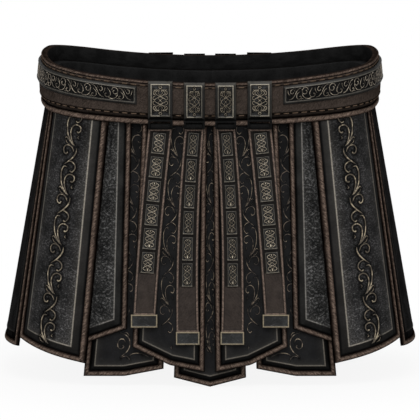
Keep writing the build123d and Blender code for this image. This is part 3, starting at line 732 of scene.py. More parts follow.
def raised(strokes, skin, foot, rise, sides=7, keen=1.2):
    """Half-round strokes on a surface.

    Across a stroke the points go round a half circle as wide as the stroke. The half width is
    drawn in near both ends the way a circle closes, so the ends are round and shut.
    """
    centre, half = strokes[..., :2], strokes[..., 2]
    along = np.gradient(centre, axis=1)
    along /= np.maximum(np.linalg.norm(along, axis=-1, keepdims=True), 1e-9)
    side = np.stack([-along[..., 1], along[..., 0]], -1)
    run = np.concatenate([np.zeros(half.shape[:1] + (1,)),
                          np.cumsum(np.linalg.norm(np.diff(centre, axis=1), axis=-1), axis=1)], axis=1)
    near_end = np.clip(np.minimum(run, run[:, -1:] - run) / np.maximum(half, 1e-6), 0, 1)
    half = half * np.sqrt(np.clip(1 - (1 - near_end) ** 2, 0, 1))
    turn = np.linspace(math.pi, 0, sides)
    place = centre[:, :, None] + side[:, :, None] * half[:, :, None, None] * np.cos(turn)[None, None, :, None]
    bulk = np.clip(half / half.max(), 0, 1) ** 0.5
    height = foot + rise * bulk[:, :, None] * np.sin(turn)
    crest = bulk[:, :, None] * np.sin(turn) ** keen
    return [sheet_of(skin(place[..., 0], place[..., 1], height), place, crest)]


# %% [markdown]
# ## Making the panels
# The quarter that shows on the left of the picture is made once, and the other three are its
# mirror copies, as a smith would cut them from one pattern. The vine's axis is given by a few
# places down the panel.

# %% Where the vines run
def axis_through(kind, places):
    """Place across for a height, through places given as x and z of the whole piece."""
    inset, facing_degrees = panel_kinds[kind][:2]
    facing = math.radians(facing_degrees)
    x, z = np.array(places).T
    point = skirt_point(x, z, inset, 0.0)
    across = point[:, 0] * math.cos(facing) - point[:, 1] * math.sin(facing)
    order = np.argsort(z)
    return lambda height: np.interp(height, z[order], across[order])


corner_axis = axis_through("corner", ((-143.5, 10.0), (-175.5, -228.0)))
front_axis = axis_through("front", ((-33.5, 0.0), (-36.5, -55.0), (-43.5, -130.0), (-46.0, -240.0)))
under_axis = axis_through("under", ((-79.0, 0.0), (-86.0, -130.0), (-96.0, -250.0)))
centre_axis = axis_through("centre", ((0.8, 0.0), (0.8, -250.0)))
gap_axis_places = ((-170.5, 0.0), (-177.0, -50.0), (-190.0, -150.0), (-201.0, -230.0))
x, z = np.array(gap_axis_places).T
gap_angle = 62.0
gap_point = skirt_point(x, z, inner_layer, math.radians(gap_angle) * 0.5)
gap_across = -gap_point[:, 1]


def gap_axis(height):
    """Place across the side under panel where the gap beside the corner panel runs."""
    return np.interp(height, z[::-1], gap_across[::-1])


vines = {
    "corner": vine(corner_axis, 8.5, 246.0, thick=0.84),
    "front": vine(front_axis, -2.0, 240.0, wide=0.8, thick=0.32),
    "under": vine(under_axis, -2.0, 214.0, wide=0.9, thick=0.4, curl_at=231.0),
    "centre": vine(centre_axis, 0.0, 250.0, wide=0.5, thick=0.36),
    "side_under": vine(gap_axis, 4.0, 214.0, wide=0.62, thick=0.6),
}
print({kind: len(strokes) for kind, strokes in vines.items()}, "strokes")

# %% Panels
quarters = (("front_left", (1, 1)), ("front_right", (-1, 1)), ("back_left", (1, -1)), ("back_right", (-1, -1)))
sides = (("left", (1, 1)), ("right", (-1, 1)))
faces = (("front", (1, 1)), ("back", (1, -1)))
panels = (
    # kind, name pattern, places, bevel, plate finish, columns and rows, relief, reach of the painted
    # shade beside the scroll, rubbing and painted highlight of the ridge, share of that on the
    # outer side, the rest of which becomes painted shade across the plate
    ("front", "{}_panel", quarters, 5.0, smooth_steel, 70, 230, 0.45, 0.8, 0.7, 1.0),
    ("middle", "{}_middle_panel", quarters, 8.0, brushed_steel, 24, 60, 0.0, 0.0, 0.65, 0.3),
    ("corner", "{}_corner_panel", quarters, 8.0, scoured_steel, 92, 230, 1.1, 4.0, 1.0, 0.6),
    ("side", "{}_side_panel", sides, 8.0, shaded_flank_steel, 40, 60, 0.0, 0.0, 0.7, 1.0),
    ("under", "{}_under_panel", quarters, 5.0, smooth_steel, 70, 230, 0.5, 0.8, 0.75, 1.0),
    ("centre", "{}_centre_panel", faces, 5.0, smooth_steel, 50, 230, 0.5, 0.8, 0.7, 1.0),
    ("side_under", "{}_side_under_panel", sides, 5.0, smooth_steel, 120, 200, 0.8, 1.6, 0.5, 1.0),
)
for kind, pattern, places, bevel, finish, columns, rows, relief_rise, *ground in panels:
    strokes = vines.get(kind)
    leather_sheets = panel_leather(kind)
    plate_sheets = panel_plate(kind, bevel, columns, rows, strokes, *ground)
    if strokes is not None:
        scroll_sheets = raised(strokes, panel_skin(kind), 3.22, relief_rise)
    single = kind in ("under", "centre", "side_under")
    for place, mirror in places:
        name = pattern.format(place)
        node = name if single else f"{name}_leather"
        make_piece(f"{name}_rolled_leather", leather_sheets, rolled_leather, name, (node,),
                   mirror, weld=True)
        make_piece(f"{name}_bevelled_plate", plate_sheets, finish, name,
                   () if single else (f"{name}_plate",), mirror, crease=30)
        if strokes is not None:
            metal = vine_metal if kind == "corner" else hide_relief if kind == "side_under" else fine_metal
            make_piece(f"{name}_vine", scroll_sheets, metal, name, (), mirror, crease=60)
print("panel pieces:", len(pieces_made), "faces:", sum(count for _, count in pieces_made))

# %% [markdown]
# ## The belt
# The belt is one thick strip of hide, swollen outwards, with a stitched channel along both
# edges, a fat welt below and thin piping on the rim. Its section is carried round the waist
# line. It could be swept as a curve with a bevel object, but the edges rise towards the
# hips, so each point of the section is given as a share of the way up plus a few
# millimetres, and the sheet is worked out from that.

# %% Belt sections
belt_height, leather_back = 46.5, -4.8
belt_columns = 560
ring_angles = np.linspace(math.pi, -math.pi, 4001)
ring_x, ring_y = waist_line(ring_angles, 0.0, -2.0)
ring_run = np.concatenate([[0.0], np.cumsum(np.hypot(np.diff(ring_x), np.diff(ring_y)))])


def angle_at(run):
    """Facing angle at a distance along the belt, from the middle of the back by way of the left side."""
    return np.interp(run % ring_run[-1], ring_run, ring_angles)


def swelling(z):
    """How far the belt swells past the skirt line at a height: the arc through its two edges and its fullest line."""
    (y0, z0), (y1, z1), (y2, z2) = (-1.0, 0.0), (4.2, 38.25), (1.0, 65.0)
    a = np.array([[2 * (y1 - y0), 2 * (z1 - z0)], [2 * (y2 - y0), 2 * (z2 - z0)]])
    b = np.array([y1 ** 2 + z1 ** 2 - y0 ** 2 - z0 ** 2, y2 ** 2 + z2 ** 2 - y0 ** 2 - z0 ** 2])
    cy, cz = np.linalg.solve(a, b)
    return cy + np.sqrt(np.maximum((y0 - cy) ** 2 + (z0 - cz) ** 2 - (z - cz) ** 2, 0.0))


def belt_points(angle, offset, share, rise, swell, low=0.0, low_rise=belt_side_rise, high=belt_height, high_rise=rim_side_rise):
    """Points round the belt: offset outwards, share of the way from low edge to high edge, plus a rise in mm."""
    x, y = waist_line(angle, 0.0, -offset)
    for _ in range(2):
        z = (low + saddle(x, low_rise)) * (1 - share) + (high + saddle(x, high_rise)) * share + rise
        x, y = waist_line(angle, 0.0, -(offset + swell * swelling(z)))
    return np.stack([x, y, z], -1)


def belt_ring(section, **edges):
    """A closed section carried round the belt. Its rows are offset, share, rise, swell, wear with highlight, and
    painted shade.
    """
    section = np.array(section, float)[:, :, None]
    run = np.arange(belt_columns) * ring_run[-1] / belt_columns
    angle = angle_at(run)[None]
    points = belt_points(angle, section[:, 0], section[:, 1], section[:, 2], section[:, 3], **edges)
    down = np.concatenate([[0.0], np.cumsum(np.linalg.norm(np.diff(points[:, 0], axis=0), axis=-1))])
    flat = np.stack(np.broadcast_arrays(run[None], -down[:, None]), -1)
    return [sheet_of(points, flat, section[:, 4], section[:, 5])]


def arc_rows(centre_offset, wide, tall, share, middle_rise, swell, start, stop, count, wear_and_highlight=1.0, hollow_shade=0.8):
    """Rows of an elliptical edge between two turns, rubbed and given a painted highlight where it faces outwards, with
    painted shade where it turns away.
    """
    turns = np.radians(np.linspace(start, stop, count))
    return [(centre_offset + wide * math.cos(t), share, middle_rise + tall * math.sin(t), swell,
             wear_and_highlight * max(0.0, math.cos(t)) ** 2, hollow_shade * (1 - max(0.0, math.cos(t)))) for t in turns]


# The last number of each row is painted shade: in the stitch channels, next to the welt and the piping, and where the
# hide turns to its back.
belt_section = (
    [(-1.8, 1.0, -3.2, 1.0, 0.0, 1.0), (-1.2, 1.0, -3.4, 1.0, 0.0, 0.9), (-0.3, 1.0, -3.8, 1.0, 0.5, 0.1),
     (0.0, 1.0, -4.4, 1.0, 0.6, 0.0), (-0.1, 1.0, -5.2, 1.0, 0.2, 0.9), (0.0, 1.0, -6.0, 1.0, 0.4, 0.5),
     (0.0, 1.0, -7.6, 1.0, 0.5, 0.1), (0.0, 1.0, -9.5, 1.0, 0.5, 0.0)]
    + [(0.0, share, 0.0, 1.0, 0.45, 0.0) for share in (0.72, 0.64, 0.56, 0.48, 0.4)]
    + [(0.0, 0.0, 16.0, 1.0, 0.5, 0.0), (0.0, 0.0, 13.6, 1.0, 0.6, 0.0), (0.0, 0.0, 12.6, 1.0, 0.3, 0.7),
       (-0.1, 0.0, 11.2, 1.0, 0.1, 0.85), (0.0, 0.0, 10.4, 1.0, 0.1, 0.6), (-0.3, 0.0, 9.6, 1.0, 0.3, 0.2),
       (-1.6, 0.0, 8.9, 1.0, 0.3, 0.3), (-2.6, 0.0, 6.3, 1.0, 0.0, 0.9)]
    + [(leather_back, 0.0, 6.3, 0.0, 0.0, 0.6)]
    + [(leather_back, share, 0.0, 0.0, 0.0, 0.0) for share in (0.4, 0.7)]
    + [(leather_back, 1.0, -3.2, 0.0, 0.0, 0.0)]
)
welt_section = (arc_rows(-0.3, 2.7, 3.0, 0.0, 3.1, 0.0, 90, -90, 13) + [(leather_back + 0.3, 0.0, 0.1, 0.0, 0.0, 0.6), (leather_back, 0.0, 0.4, 0.0, 0.0, 0.6),
                (leather_back, 0.0, 5.8, 0.0, 0.0, 0.6), (leather_back + 0.3, 0.0, 6.1, 0.0, 0.0, 0.6)])
piping_section = (arc_rows(-0.1, 1.7, 1.6, 1.0, -1.6, 0.35, 90, -90, 9, 0.8, 0.4) + [(leather_back + 0.3, 1.0, -3.15, 0.0, 0.0, 0.6), (leather_back, 1.0, -2.8, 0.0, 0.0, 0.3),
                  (leather_back, 1.0, -0.4, 0.0, 0.0, 0.2), (leather_back + 0.4, 1.0, 0.0, 0.0, 0.1, 0.1)])
make_piece("belt_hide", belt_ring(belt_section), belt_hide, "belt", ("belt_leather",), round_rows=True, round_columns=True, crease=50)
make_piece("belt_rolled_welt", belt_ring(welt_section), rolled_leather, "belt", ("belt_welt",), round_rows=True, round_columns=True, crease=60)
lining_section = [(-5.15, 1.0, -15.2, 0.0, 0.0, 0.4), (-4.5, 1.0, -15.2, 0.0, 0.0, 0.4), (-4.5, 1.0, -0.5, 0.0, 0.0, 0.0),
                  (-4.8, 1.0, -0.12, 0.0, 0.0, 0.0), (-5.15, 1.0, -0.5, 0.0, 0.0, 0.0), (-5.15, 1.0, -7.0, 0.0, 0.0, 0.0)]
make_piece("belt_black_lining", belt_ring(lining_section), lining_hide, "belt", (), round_rows=True, round_columns=True, crease=60)
make_piece("belt_rim_piping", belt_ring(piping_section), rolled_leather, "belt", ("belt_piping",), round_rows=True, round_columns=True, crease=60)
band_edges = {"high": 31.0}
band_section = ([(-4.9, 1.0, -0.6, 0.0, 0.1, 0.3), (-4.9, 0.5, 0.0, 0.0, 0.0, 0.3), (-4.9, 0.0, 0.6, 0.0, 0.0, 0.6), (-5.5, 0.0, 0.05, 0.0, 0.0, 0.5),
                 (-13.1, 0.0, 0.05, 0.0, 0.0, 0.2), (-13.8, 0.0, 0.7, 0.0, 0.3, 0.0)]
                + [(-13.8, share, 0.0, 0.0, 0.1, 0.0) for share in (0.25, 0.5, 0.75)]
                + [(-13.8, 1.0, -0.9, 0.0, 0.4, 0.0), (-13.4, 1.0, -0.2, 0.0, 0.8, 0.0), (-12.6, 1.0, 0.0, 0.0, 0.6, 0.0), (-5.5, 1.0, 0.0, 0.0, 0.0, 0.5)])
make_piece("inner_hanging_band", belt_ring(band_section, **band_edges), lining_hide, "belt", ("hanging_band",), round_rows=True, round_columns=True, crease=50)
print("belt round its outside:", round(ring_run[-1]), "mm")

# %% [markdown]
# ### Stitches
# The hide is saddle-stitched in thick brown thread, one stitch every 9.6 mm in each channel, and the channels round it
# carry painted shade from the belt's section.
# A stitch is a short round rod whose ends dive into the hide. The rods are worked out as one
# array: stitches, places along the stitch, places round the thread.


# %% Stitch rows
def stitch_row(share, rise, pitch=9.6, long=7.6, thick=0.75):
    """Stitches along the belt: a rod along the run, round in section and drawn down at both ends."""
    count = int(ring_run[-1] / pitch)
    middle = (np.arange(count) + 0.5) * ring_run[-1] / count
    along = np.linspace(-0.5, 0.5, 9)
    turn = np.linspace(0, 2 * math.pi, 9)
    end = np.sqrt(np.clip(1 - (2 * along) ** 6, 0, 1))
    run = middle[:, None, None] + along[None, :, None] * long
    across = (thick * end)[None, :, None] * np.cos(turn)
    proud = -0.35 + (thick * end)[None, :, None] * np.sin(turn) - 0.9 * (2 * along[None, :, None]) ** 6
    run, across, proud = np.broadcast_arrays(run, across, proud)
    points = belt_points(angle_at(run), proud, share, rise + across, 1.0)
    return sheet_of(points, np.stack([run, across], -1), np.clip(np.sin(turn), 0, 1) * 0.7)


make_piece("belt_stitches", [stitch_row(1.0, -4.9), stitch_row(0.0, 11.2)], thread, "belt", (), crease=70)
print("stitches along each edge:", int(ring_run[-1] / 9.6))

# %% [markdown]
# ### The side plates
# Two long cast plates wrap round the hips, with a bevelled frame and a running scroll raised
# from a ground darkened with painted shade. The same vine as on the panels is laid on its side and drawn smaller.

# %% Side plates
side_plate_end, side_plate_low, side_plate_high = 78.5, 20.6, 40.0
side_plate_half = (side_plate_high - side_plate_low) / 2
left_angles = np.linspace(0.0, math.pi, 3001)
left_x, left_y = waist_line(left_angles, 0.0, -4.0)
left_run = np.concatenate([[0.0], np.cumsum(np.hypot(np.diff(left_x), np.diff(left_y)))])
end_run = float(np.interp(side_plate_end, -left_x[:1500], left_run[:1500]))
side_plate_length = float(left_run[-1]) - 2 * end_run


def side_plate_skin(across, up, rise):
    """Place along the plate, minus towards the back, and height above its middle line."""
    angle = np.interp(end_run - across, left_run, left_angles)
    return belt_points(angle, rise, 0.5 + up / 2 / side_plate_half, 0.0, 1.0, side_plate_low, 15.0, side_plate_high, rim_side_rise)


side_outline = (
    lambda z, margin: -side_plate_length + margin + 0 * z,
    lambda z, margin: -margin + 0 * z,
    lambda a, margin: -side_plate_half + margin + 0 * a,
    lambda a, margin: side_plate_half - margin + 0 * a,
)
side_steps = [(0.0, 0.05), (0.0, 1.0), (0.3, 1.3), (1.7, 2.25), (2.3, 2.6), (2.8, 2.6), (3.2, 2.3), (3.8, 1.5), (4.3, 1.35)]
side_wear = np.array([0, 0.0, 0.02, 0.03, 0.2, 0.15, 0.02, 0.0, 0.0])
side_shade = np.array([1, 0.8, 0.5, 0.35, 0.2, 0.1, 0.7, 1.0, 1.0])
side_polish = np.array([1, 1, 1, 1, 0.6, 0.4, 0.6, 0.5, 0.2])
side_repeats = round((side_plate_length - 9.0) / 29.0)
side_repeat = (side_plate_length - 9.0) / side_repeats
side_unit = (
    ((3.2, 2.4, 0.5), (4.6, 5.4, 0.62), (8.0, 5.8, 0.62), (10.2, 3.0, 0.62), (8.8, -0.2, 0.62), (5.8, -0.4, 0.66), (4.9, 2.0, 0.7), (6.6, 3.0, 0.75)),
    ((10.2, 3.4, 0.3), (9.6, -1.6, 0.62), (6.4, -5.0, 0.66), (1.6, -5.6, 0.62), (-1.6, -3.6, 0.3)),
    ((-1.8, 5.4, 0.3), (1.4, 1.4, 0.62), (1.8, -2.0, 0.62), (-0.6, -4.4, 0.6), (-3.6, -3.6, 0.6), (-3.8, -1.2, 0.66), (-1.8, -1.0, 0.62)),
    ((10.8, 5.8, 0.3), (13.6, 5.4, 0.62), (16.4, 2.6, 0.66), (18.4, -1.2, 0.66), (21.6, -4.4, 0.62), (25.4, -5.4, 0.3)),
    ((12.4, 2.6, 0.3), (15.6, 0.2, 0.6), (16.4, -3.0, 0.6), (14.2, -5.4, 0.6), (11.4, -4.6, 0.62), (11.8, -2.4, 0.7), (13.4, -2.8, 0.6)),
    ((19.6, 5.6, 0.3), (22.4, 4.6, 0.6), (23.0, 2.0, 0.6), (20.8, 0.8, 0.6), (19.4, 2.4, 0.62)),
    ((23.6, -1.2, 0.3), (25.4, 1.6, 0.55), (26.0, 5.2, 0.3)),
    ((17.2, 5.8, 0.25), (18.4, 4.0, 0.5), (17.6, 2.6, 0.25)),
    ((8.4, -5.8, 0.25), (10.0, -5.0, 0.5), (11.0, -6.0, 0.25)),
)
side_shift = -4.5 - side_repeat * (np.arange(side_repeats) + 1) + 3.6
side_vine = np.stack([smooth_line(stroke) for stroke in side_unit])[None] * (1, 1, 0.76)
side_vine = side_vine * (side_repeat / 30.0, 1, 1) + side_shift[:, None, None, None] * (1, 0, 0)
side_vine = side_vine.reshape((-1,) + side_vine.shape[2:])
across, up, rise, index = framed_sheet(side_outline, side_steps, 560, 26, True, 0.0)
flat = np.stack([across, up], -1)
# Painted shade in the frame's hollows and over the whole field, the dark ground of the scroll.
apart_shade = np.clip(side_shade[index] + 0.0, 0, 1)
apart_shade = np.where(index == len(side_steps) - 1, 0.92, apart_shade)
side_sheets = [sheet_of(side_plate_skin(across, up, rise), flat, side_wear[index], apart_shade, side_polish[index])]
side_vine_sheets = raised(side_vine, side_plate_skin, 1.3, 0.9, keen=2.4)
for side, mirror in sides:
    stands_for = ("side_plates",) if side == "left" else ()
    make_piece(f"{side}_side_plate", side_sheets, cast_steel, "belt", stands_for, mirror, crease=30)
    make_piece(f"{side}_side_plate_scroll", side_vine_sheets, relief_metal, "belt", (), mirror, crease=60)
print("side plate length along the belt:", round(side_plate_length), "mm")

# %% [markdown]
# ### The buckle plates
# Above each strap a bevelled cast plate lies on the belt and laps over the rim. Its field is
# sunk and holds an upright knot: two strands that cross three times, curls beside them, a
# lozenge at each end and a boss in the middle.

# %% Knots
strand = np.linspace(0, 1, 15)
knot_unit = [
    [(math.sin(3 * math.pi * t) * (0.5 + 0.3 * math.sin(math.pi * t)), 0.40 - 0.80 * t, 0.042) for t in strand],
    [(math.sin(4 * math.pi * t) * 0.3, 0.36 - 0.72 * t, 0.034) for t in strand],
    ((0.0, 0.5, 0.03), (0.2, 0.455, 0.045), (0.0, 0.405, 0.045), (-0.2, 0.455, 0.045), (0.0, 0.5, 0.03)),
    ((0.0, -0.5, 0.03), (0.2, -0.455, 0.045), (0.0, -0.405, 0.045), (-0.2, -0.455, 0.045), (0.0, -0.5, 0.03)),
    ((-0.1, 0.0, 0.09), (0.0, 0.0, 0.11), (0.1, 0.0, 0.09)),
]
knot_curls = (
    ((0.1, 0.33, 0.02), (0.55, 0.36, 0.045), (0.95, 0.29, 0.045), (0.88, 0.21, 0.045), (0.62, 0.235, 0.05)),
    ((0.95, 0.40, 0.02), (0.72, 0.33, 0.04), (0.86, 0.26, 0.02)),
    ((0.5, 0.18, 0.02), (0.92, 0.13, 0.045), (1.0, 0.05, 0.04), (0.78, 0.03, 0.05)),
)


plait_unit = [
    [(math.sin(3 * math.pi * t) * 0.92, 0.5 - t, 0.062) for t in strand],
    [(math.cos(3 * math.pi * t) * 0.62, 0.47 - 0.94 * t, 0.05) for t in strand],
    ((0.0, -0.3, 0.03), (0.0, -0.4, 0.13), (0.0, -0.5, 0.03)),
    ((0.0, 0.5, 0.03), (0.0, 0.43, 0.09), (0.0, 0.36, 0.03)),
]


def knot_strokes(unit, curls, middle_x, middle_z, half_wide, tall, lean=0.0, bold=1.1):
    """A knot's strokes in place: its lone strokes once, the two crossing strands and the curls mirrored."""
    strokes = [smooth_line(stroke) for stroke in unit]
    strokes += [smooth_line(stroke) * (-1, 1, 1) for stroke in unit[:2]]
    for curl in curls:
        line = smooth_line(curl)
        strokes += [line, line * (-1, 1, 1), line * (1, -1, 1), line * (-1, -1, 1)]
    strokes = np.stack(strokes) * (half_wide, tall, half_wide * bold)
    x = strokes[..., 0] * math.cos(lean) - strokes[..., 1] * math.sin(lean)
    z = strokes[..., 0] * math.sin(lean) + strokes[..., 1] * math.cos(lean)
    return np.stack([middle_x + x, middle_z + z, strokes[..., 2]], -1)


def belt_front_skin(x, z, rise):
    """Place on the belt's swelling front."""
    points = skirt_point(x, 0.0 * z, -(swelling(z) + rise), 0.0)
    return np.stack([points[..., 0], points[..., 1], np.broadcast_to(z, points.shape[:-1])], -1)


def box_outline(left_x, right_x, low_z, high_z):
    """Edge functions of an upright rectangle."""
    return (
        lambda z, margin: left_x + margin + 0 * z,
        lambda z, margin: right_x - margin + 0 * z,
        lambda a, margin: low_z + margin + 0 * a,
        lambda a, margin: high_z - margin + 0 * a,
    )


# %% Buckle plates
welt_height = 6.2
buckle_steps = [(0.0, 0.1), (0.0, 1.7), (0.35, 2.2), (2.6, 3.6), (3.2, 4.0), (3.6, 4.0), (4.0, 3.6), (4.8, 2.8), (5.3, 2.7)]
buckle_wear = np.array([0.0, 0.05, 0.1, 0.02, 0.8, 0.8, 0.2, 0.0, 0.0])
buckle_shade = np.array([1, 0.8, 0.3, 0.2, 0, 0, 0.1, 0.3, 0.1])
buckle_polish = np.array([1, 1, 1, 1, 0.6, 0.4, 0.6, 0.6, 0.4])
straps = {
    # place, plate width, top width, end width, sway, bow, length, plaque pitch, plaque width, tip width
    "outer": (53.3, 26.4, 25.9, 24.1, 17.7, 1.5, 216.0, 25.6, 14.5, 28.5),
    "inner": (16.8, 22.6, 21.0, 24.8, 6.9, 3.4, 234.5, 28.0, 11.8, 25.4),
}
for strap, (place, wide, *_) in straps.items():
    high = belt_height + 1.0 + saddle(place, rim_side_rise)
    low = welt_height + 0.2 + saddle(place + wide / 2, belt_side_rise)
    outline = box_outline(-place - wide / 2, -place + wide / 2, low, high)
    across, z_up, rise, index = framed_sheet(outline, buckle_steps, 30, 54, True, 20.0)
    flat = np.stack([across, z_up], -1)
    strokes = knot_strokes(knot_unit, knot_curls, -place, (low + high) / 2, wide / 2 - 5.4, high - low - 9.6, bold=1.25)
    # Painted shade in the frame's hollows and on the ground beside the knot.
    dark = np.maximum(buckle_shade[index], ground_shade(flat, strokes, 1.5))
    # Painted highlight: the frame's top and left side are lighter, as if lit from there.
    lit_upper_left = np.where((across < -place) & (z_up > low + 3.0) | (z_up > high - 5.0), 1.0, 0.35)
    plate_wear_and_highlight = buckle_wear[index] * lit_upper_left
    plate_sheets = [sheet_of(belt_front_skin(across, z_up, rise), flat, plate_wear_and_highlight, dark, buckle_polish[index])]
    knot_sheets = raised(strokes, belt_front_skin, 2.6, 1.35, 7, 0.8)
    for quarter, mirror in quarters:
        stands_for = ("buckle_plates",) if (strap, quarter) == ("outer", "front_left") else ()
        make_piece(f"{quarter}_{strap}_buckle_plate", plate_sheets, cast_steel, "belt", stands_for, mirror, crease=30)
        make_piece(f"{quarter}_{strap}_buckle_knot", knot_sheets, knot_metal, "belt", (), mirror, crease=60)
print("buckle plates and knots made")

# %% [markdown]
# ## The strap tongues
# Each tongue is a long leather strip with a raised bead all round, which sways outwards as it
# goes down. Six cast plaques are riveted down its middle and a plain steel cap closes its
# end. At the top it is folded round an iron bar. It lies on the slant of the front panel, so
# its surface is a plane, and the framed sheet serves again with bowed side lines.

# %% Strap surfaces
slant = math.atan2(hem_half_depth - half_depth, hem_level)
strap_gap, strap_start, tip_length, first_plaque_top = 0.6, 2.6, 14.0, 3.0
bar_y, bar_z, fold_radius = -(half_depth + 7.2), 1.0, 3.2


def strap_skin(x, up, rise):
    """Place on the slanted plane of the straps: x, minus the drop below the belt, and rise above the strap's back."""
    x, up, rise = np.broadcast_arrays(x, up, rise)
    out = strap_gap + rise
    y = -half_depth - math.cos(slant) * out + math.sin(slant) * up
    return np.stack([x, y, math.sin(slant) * out + math.cos(slant) * up], -1)


def strap_lines(strap):
    """Functions of the strap's middle line and half width at a height."""
    place, _, width, end_width, sway, bow, length, *_ = straps[strap]

    def share(up):
        return (-up - strap_start) / (length - strap_start)

    def middle(up):
        return -(place + sway * share(up) + bow * 4 * share(up) * (1 - share(up)))

    def half(up):
        return (width + (end_width - width) * share(up)) / 2

    return middle, half


strap_bead = [(0.0, 0.0), (0.0, 1.4), (0.15, 2.3), (0.55, 2.95), (1.1, 3.25), (1.7, 3.3), (2.3, 3.15), (2.8, 2.75), (3.1, 2.3), (3.3, 2.2)]
strap_wear = np.array([0, 0, 0.1, 0.5, 0.9, 0.9, 0.6, 0.1, 0.0, 0.0])
strap_shade = np.array([1, 1.0, 0.7, 0.35, 0, 0, 0.2, 0.6, 1.0, 0.3])
plaque_steps = [(0.0, 2.2), (0.0, 3.1), (0.25, 3.5), (0.7, 3.95), (1.0, 4.0), (1.3, 3.7), (1.7, 3.45)]
plaque_wear = np.array([0.0, 0.0, 0.1, 0.1, 0.2, 0.05, 0.0])
plaque_shade = np.array([1, 0.9, 0.4, 0.1, 0.1, 0.5, 0.35])
plaque_polish = np.array([1, 1, 1, 0.7, 0.4, 0.6, 0.4])
tip_steps = [(0.0, 0.0), (0.0, 3.3), (0.2, 3.75), (0.7, 4.2), (1.5, 4.2), (1.9, 3.95), (2.3, 3.85)]
tip_wear = np.array([0.0, 0.5, 1.0, 0.9, 0.2, 0.0, 0.0])
tip_shade = np.array([0.8, 0.3, 0, 0, 0, 0.45, 0.1])


def strap_tongue(strap):
    """Front with its bead and back of the leather tongue, with painted shade at the bead's foot and on the leather
    round the plaques.
    """
    middle, half = strap_lines(strap)
    length = straps[strap][6]
    outline = (
        lambda z, margin: middle(z) - half(z) + margin,
        lambda z, margin: middle(z) + half(z) - margin,
        lambda a, margin: -(length - tip_length) - 1.0 + margin + 0 * a,
        lambda a, margin: -strap_start - margin + 0 * a,
    )
    across, up, rise, index = framed_sheet(outline, strap_bead, 10, 90, True)
    # Painted shade on the leather round the plaques.
    shaded_round_plaques = (index == len(strap_bead) - 1) & (up > -(strap_start + first_plaque_top + 6 * straps[strap][7] - 1.0))
    dark = np.where(shaded_round_plaques, 0.85, strap_shade[index])
    front = sheet_of(strap_skin(across, up, rise), np.stack([across, up], -1), strap_wear[index] + 0.12, dark)
    across, up, rise, index = back_sheet(outline, strap_bead, 10, 90, 0.0, True)
    back = sheet_of(strap_skin(across, up, rise)[:, ::-1], np.stack([across, up], -1)[:, ::-1], 0.1)
    return [front, back]


def plaque_row(strap):
    """Six plaques, each turned to follow the strap, and the knots that they carry."""
    middle, _ = strap_lines(strap)
    pitch, wide = straps[strap][7], straps[strap][8]
    plates, knots = [], []
    for number in range(6):
        up = -(strap_start + first_plaque_top + pitch * (number + 0.5))
        above, below = middle(up + pitch / 2), middle(up - pitch / 2)
        lean = -math.atan2(above - below, pitch)
        tall = pitch - 2.4
        outline = box_outline(-wide / 2, wide / 2, -tall / 2, tall / 2)
        across, z_up, rise, index = framed_sheet(outline, plaque_steps, 22, 36, True, 0.0)
        x = middle(up) + across * math.cos(lean) - z_up * math.sin(lean)
        v = up + across * math.sin(lean) + z_up * math.cos(lean)
        flat = np.stack([x, v], -1)
        strokes = knot_strokes(plait_unit, (), middle(up), up, wide / 2 - 1.9, tall - 4.0, lean, 1.15)
        # Painted shade on the ground beside the knot and in the frame's hollows.
        apart = ground_shade(flat, strokes, 1.3)
        dark = np.maximum(plaque_shade[index], apart)
        # Painted highlight along the plaque's bottom edge.
        wear_and_highlight = plaque_wear[index] * np.where(z_up < -tall / 2 + 2.0, 3.2, 1.0)
        plates.append(sheet_of(strap_skin(x, v, rise), flat, wear_and_highlight, dark, plaque_polish[index]))
        knots.append(strokes)
    return plates, raised(np.concatenate(knots), strap_skin, 3.4, 0.75, 5, 0.7)


def strap_tip(strap):
    """Plain cap with a raised border, closed at its back."""
    middle, _ = strap_lines(strap)
    length, wide = straps[strap][6], straps[strap][9]
    up = -(length - tip_length / 2)
    outline = box_outline(middle(up) - wide / 2, middle(up) + wide / 2, up - tip_length / 2, up + tip_length / 2)
    across, z_up, rise, index = framed_sheet(outline, tip_steps, 20, 12, True, up)
    front = sheet_of(strap_skin(across, z_up, rise), np.stack([across, z_up], -1), tip_wear[index], tip_shade[index])
    across, z_up, rise, index = back_sheet(outline, tip_steps, 20, 12, 0.0, True, up)
    back = sheet_of(strap_skin(across, z_up, rise)[:, ::-1], np.stack([across, z_up], -1)[:, ::-1])
    return [front, back]


def strap_fold(strap):
    """Folded end: a section round the bar and down to the strap, carried across, its ends drawn in and shut."""
    place, bracket = straps[strap][:2]
    wide = bracket - 5.0
    turn = np.linspace(math.radians(40), math.radians(262), 18)
    section = [(bar_y + fold_radius * math.cos(t), bar_z + fold_radius * math.sin(t)) for t in turn]
    section += [(-130.4, -2.6), (-128.6, -3.2), (-127.2, -3.2), (-127.0, -1.6), (-128.2, 0.6)]
    section = np.array(section)
    middle = section.mean(0)
    drawn = np.array([0.0, 0.9, 0.97, 1.0, 1.0, 1.0, 1.0, 0.97, 0.9, 0.0])
    x = np.array([-0.5, -0.5, -0.49, -0.46, -0.2, 0.2, 0.46, 0.49, 0.5, 0.5]) * wide - place
    yz = middle + (section[:, None] - middle) * drawn[None, :, None]
    points = np.stack([np.broadcast_to(x, yz.shape[:2]), yz[..., 0], yz[..., 1]], -1)
    run = np.concatenate([[0.0], np.cumsum(np.linalg.norm(np.diff(section, axis=0), axis=-1))])
    return [sheet_of(points, np.stack(np.broadcast_arrays(x[None], -run[:, None]), -1), 0.2)]


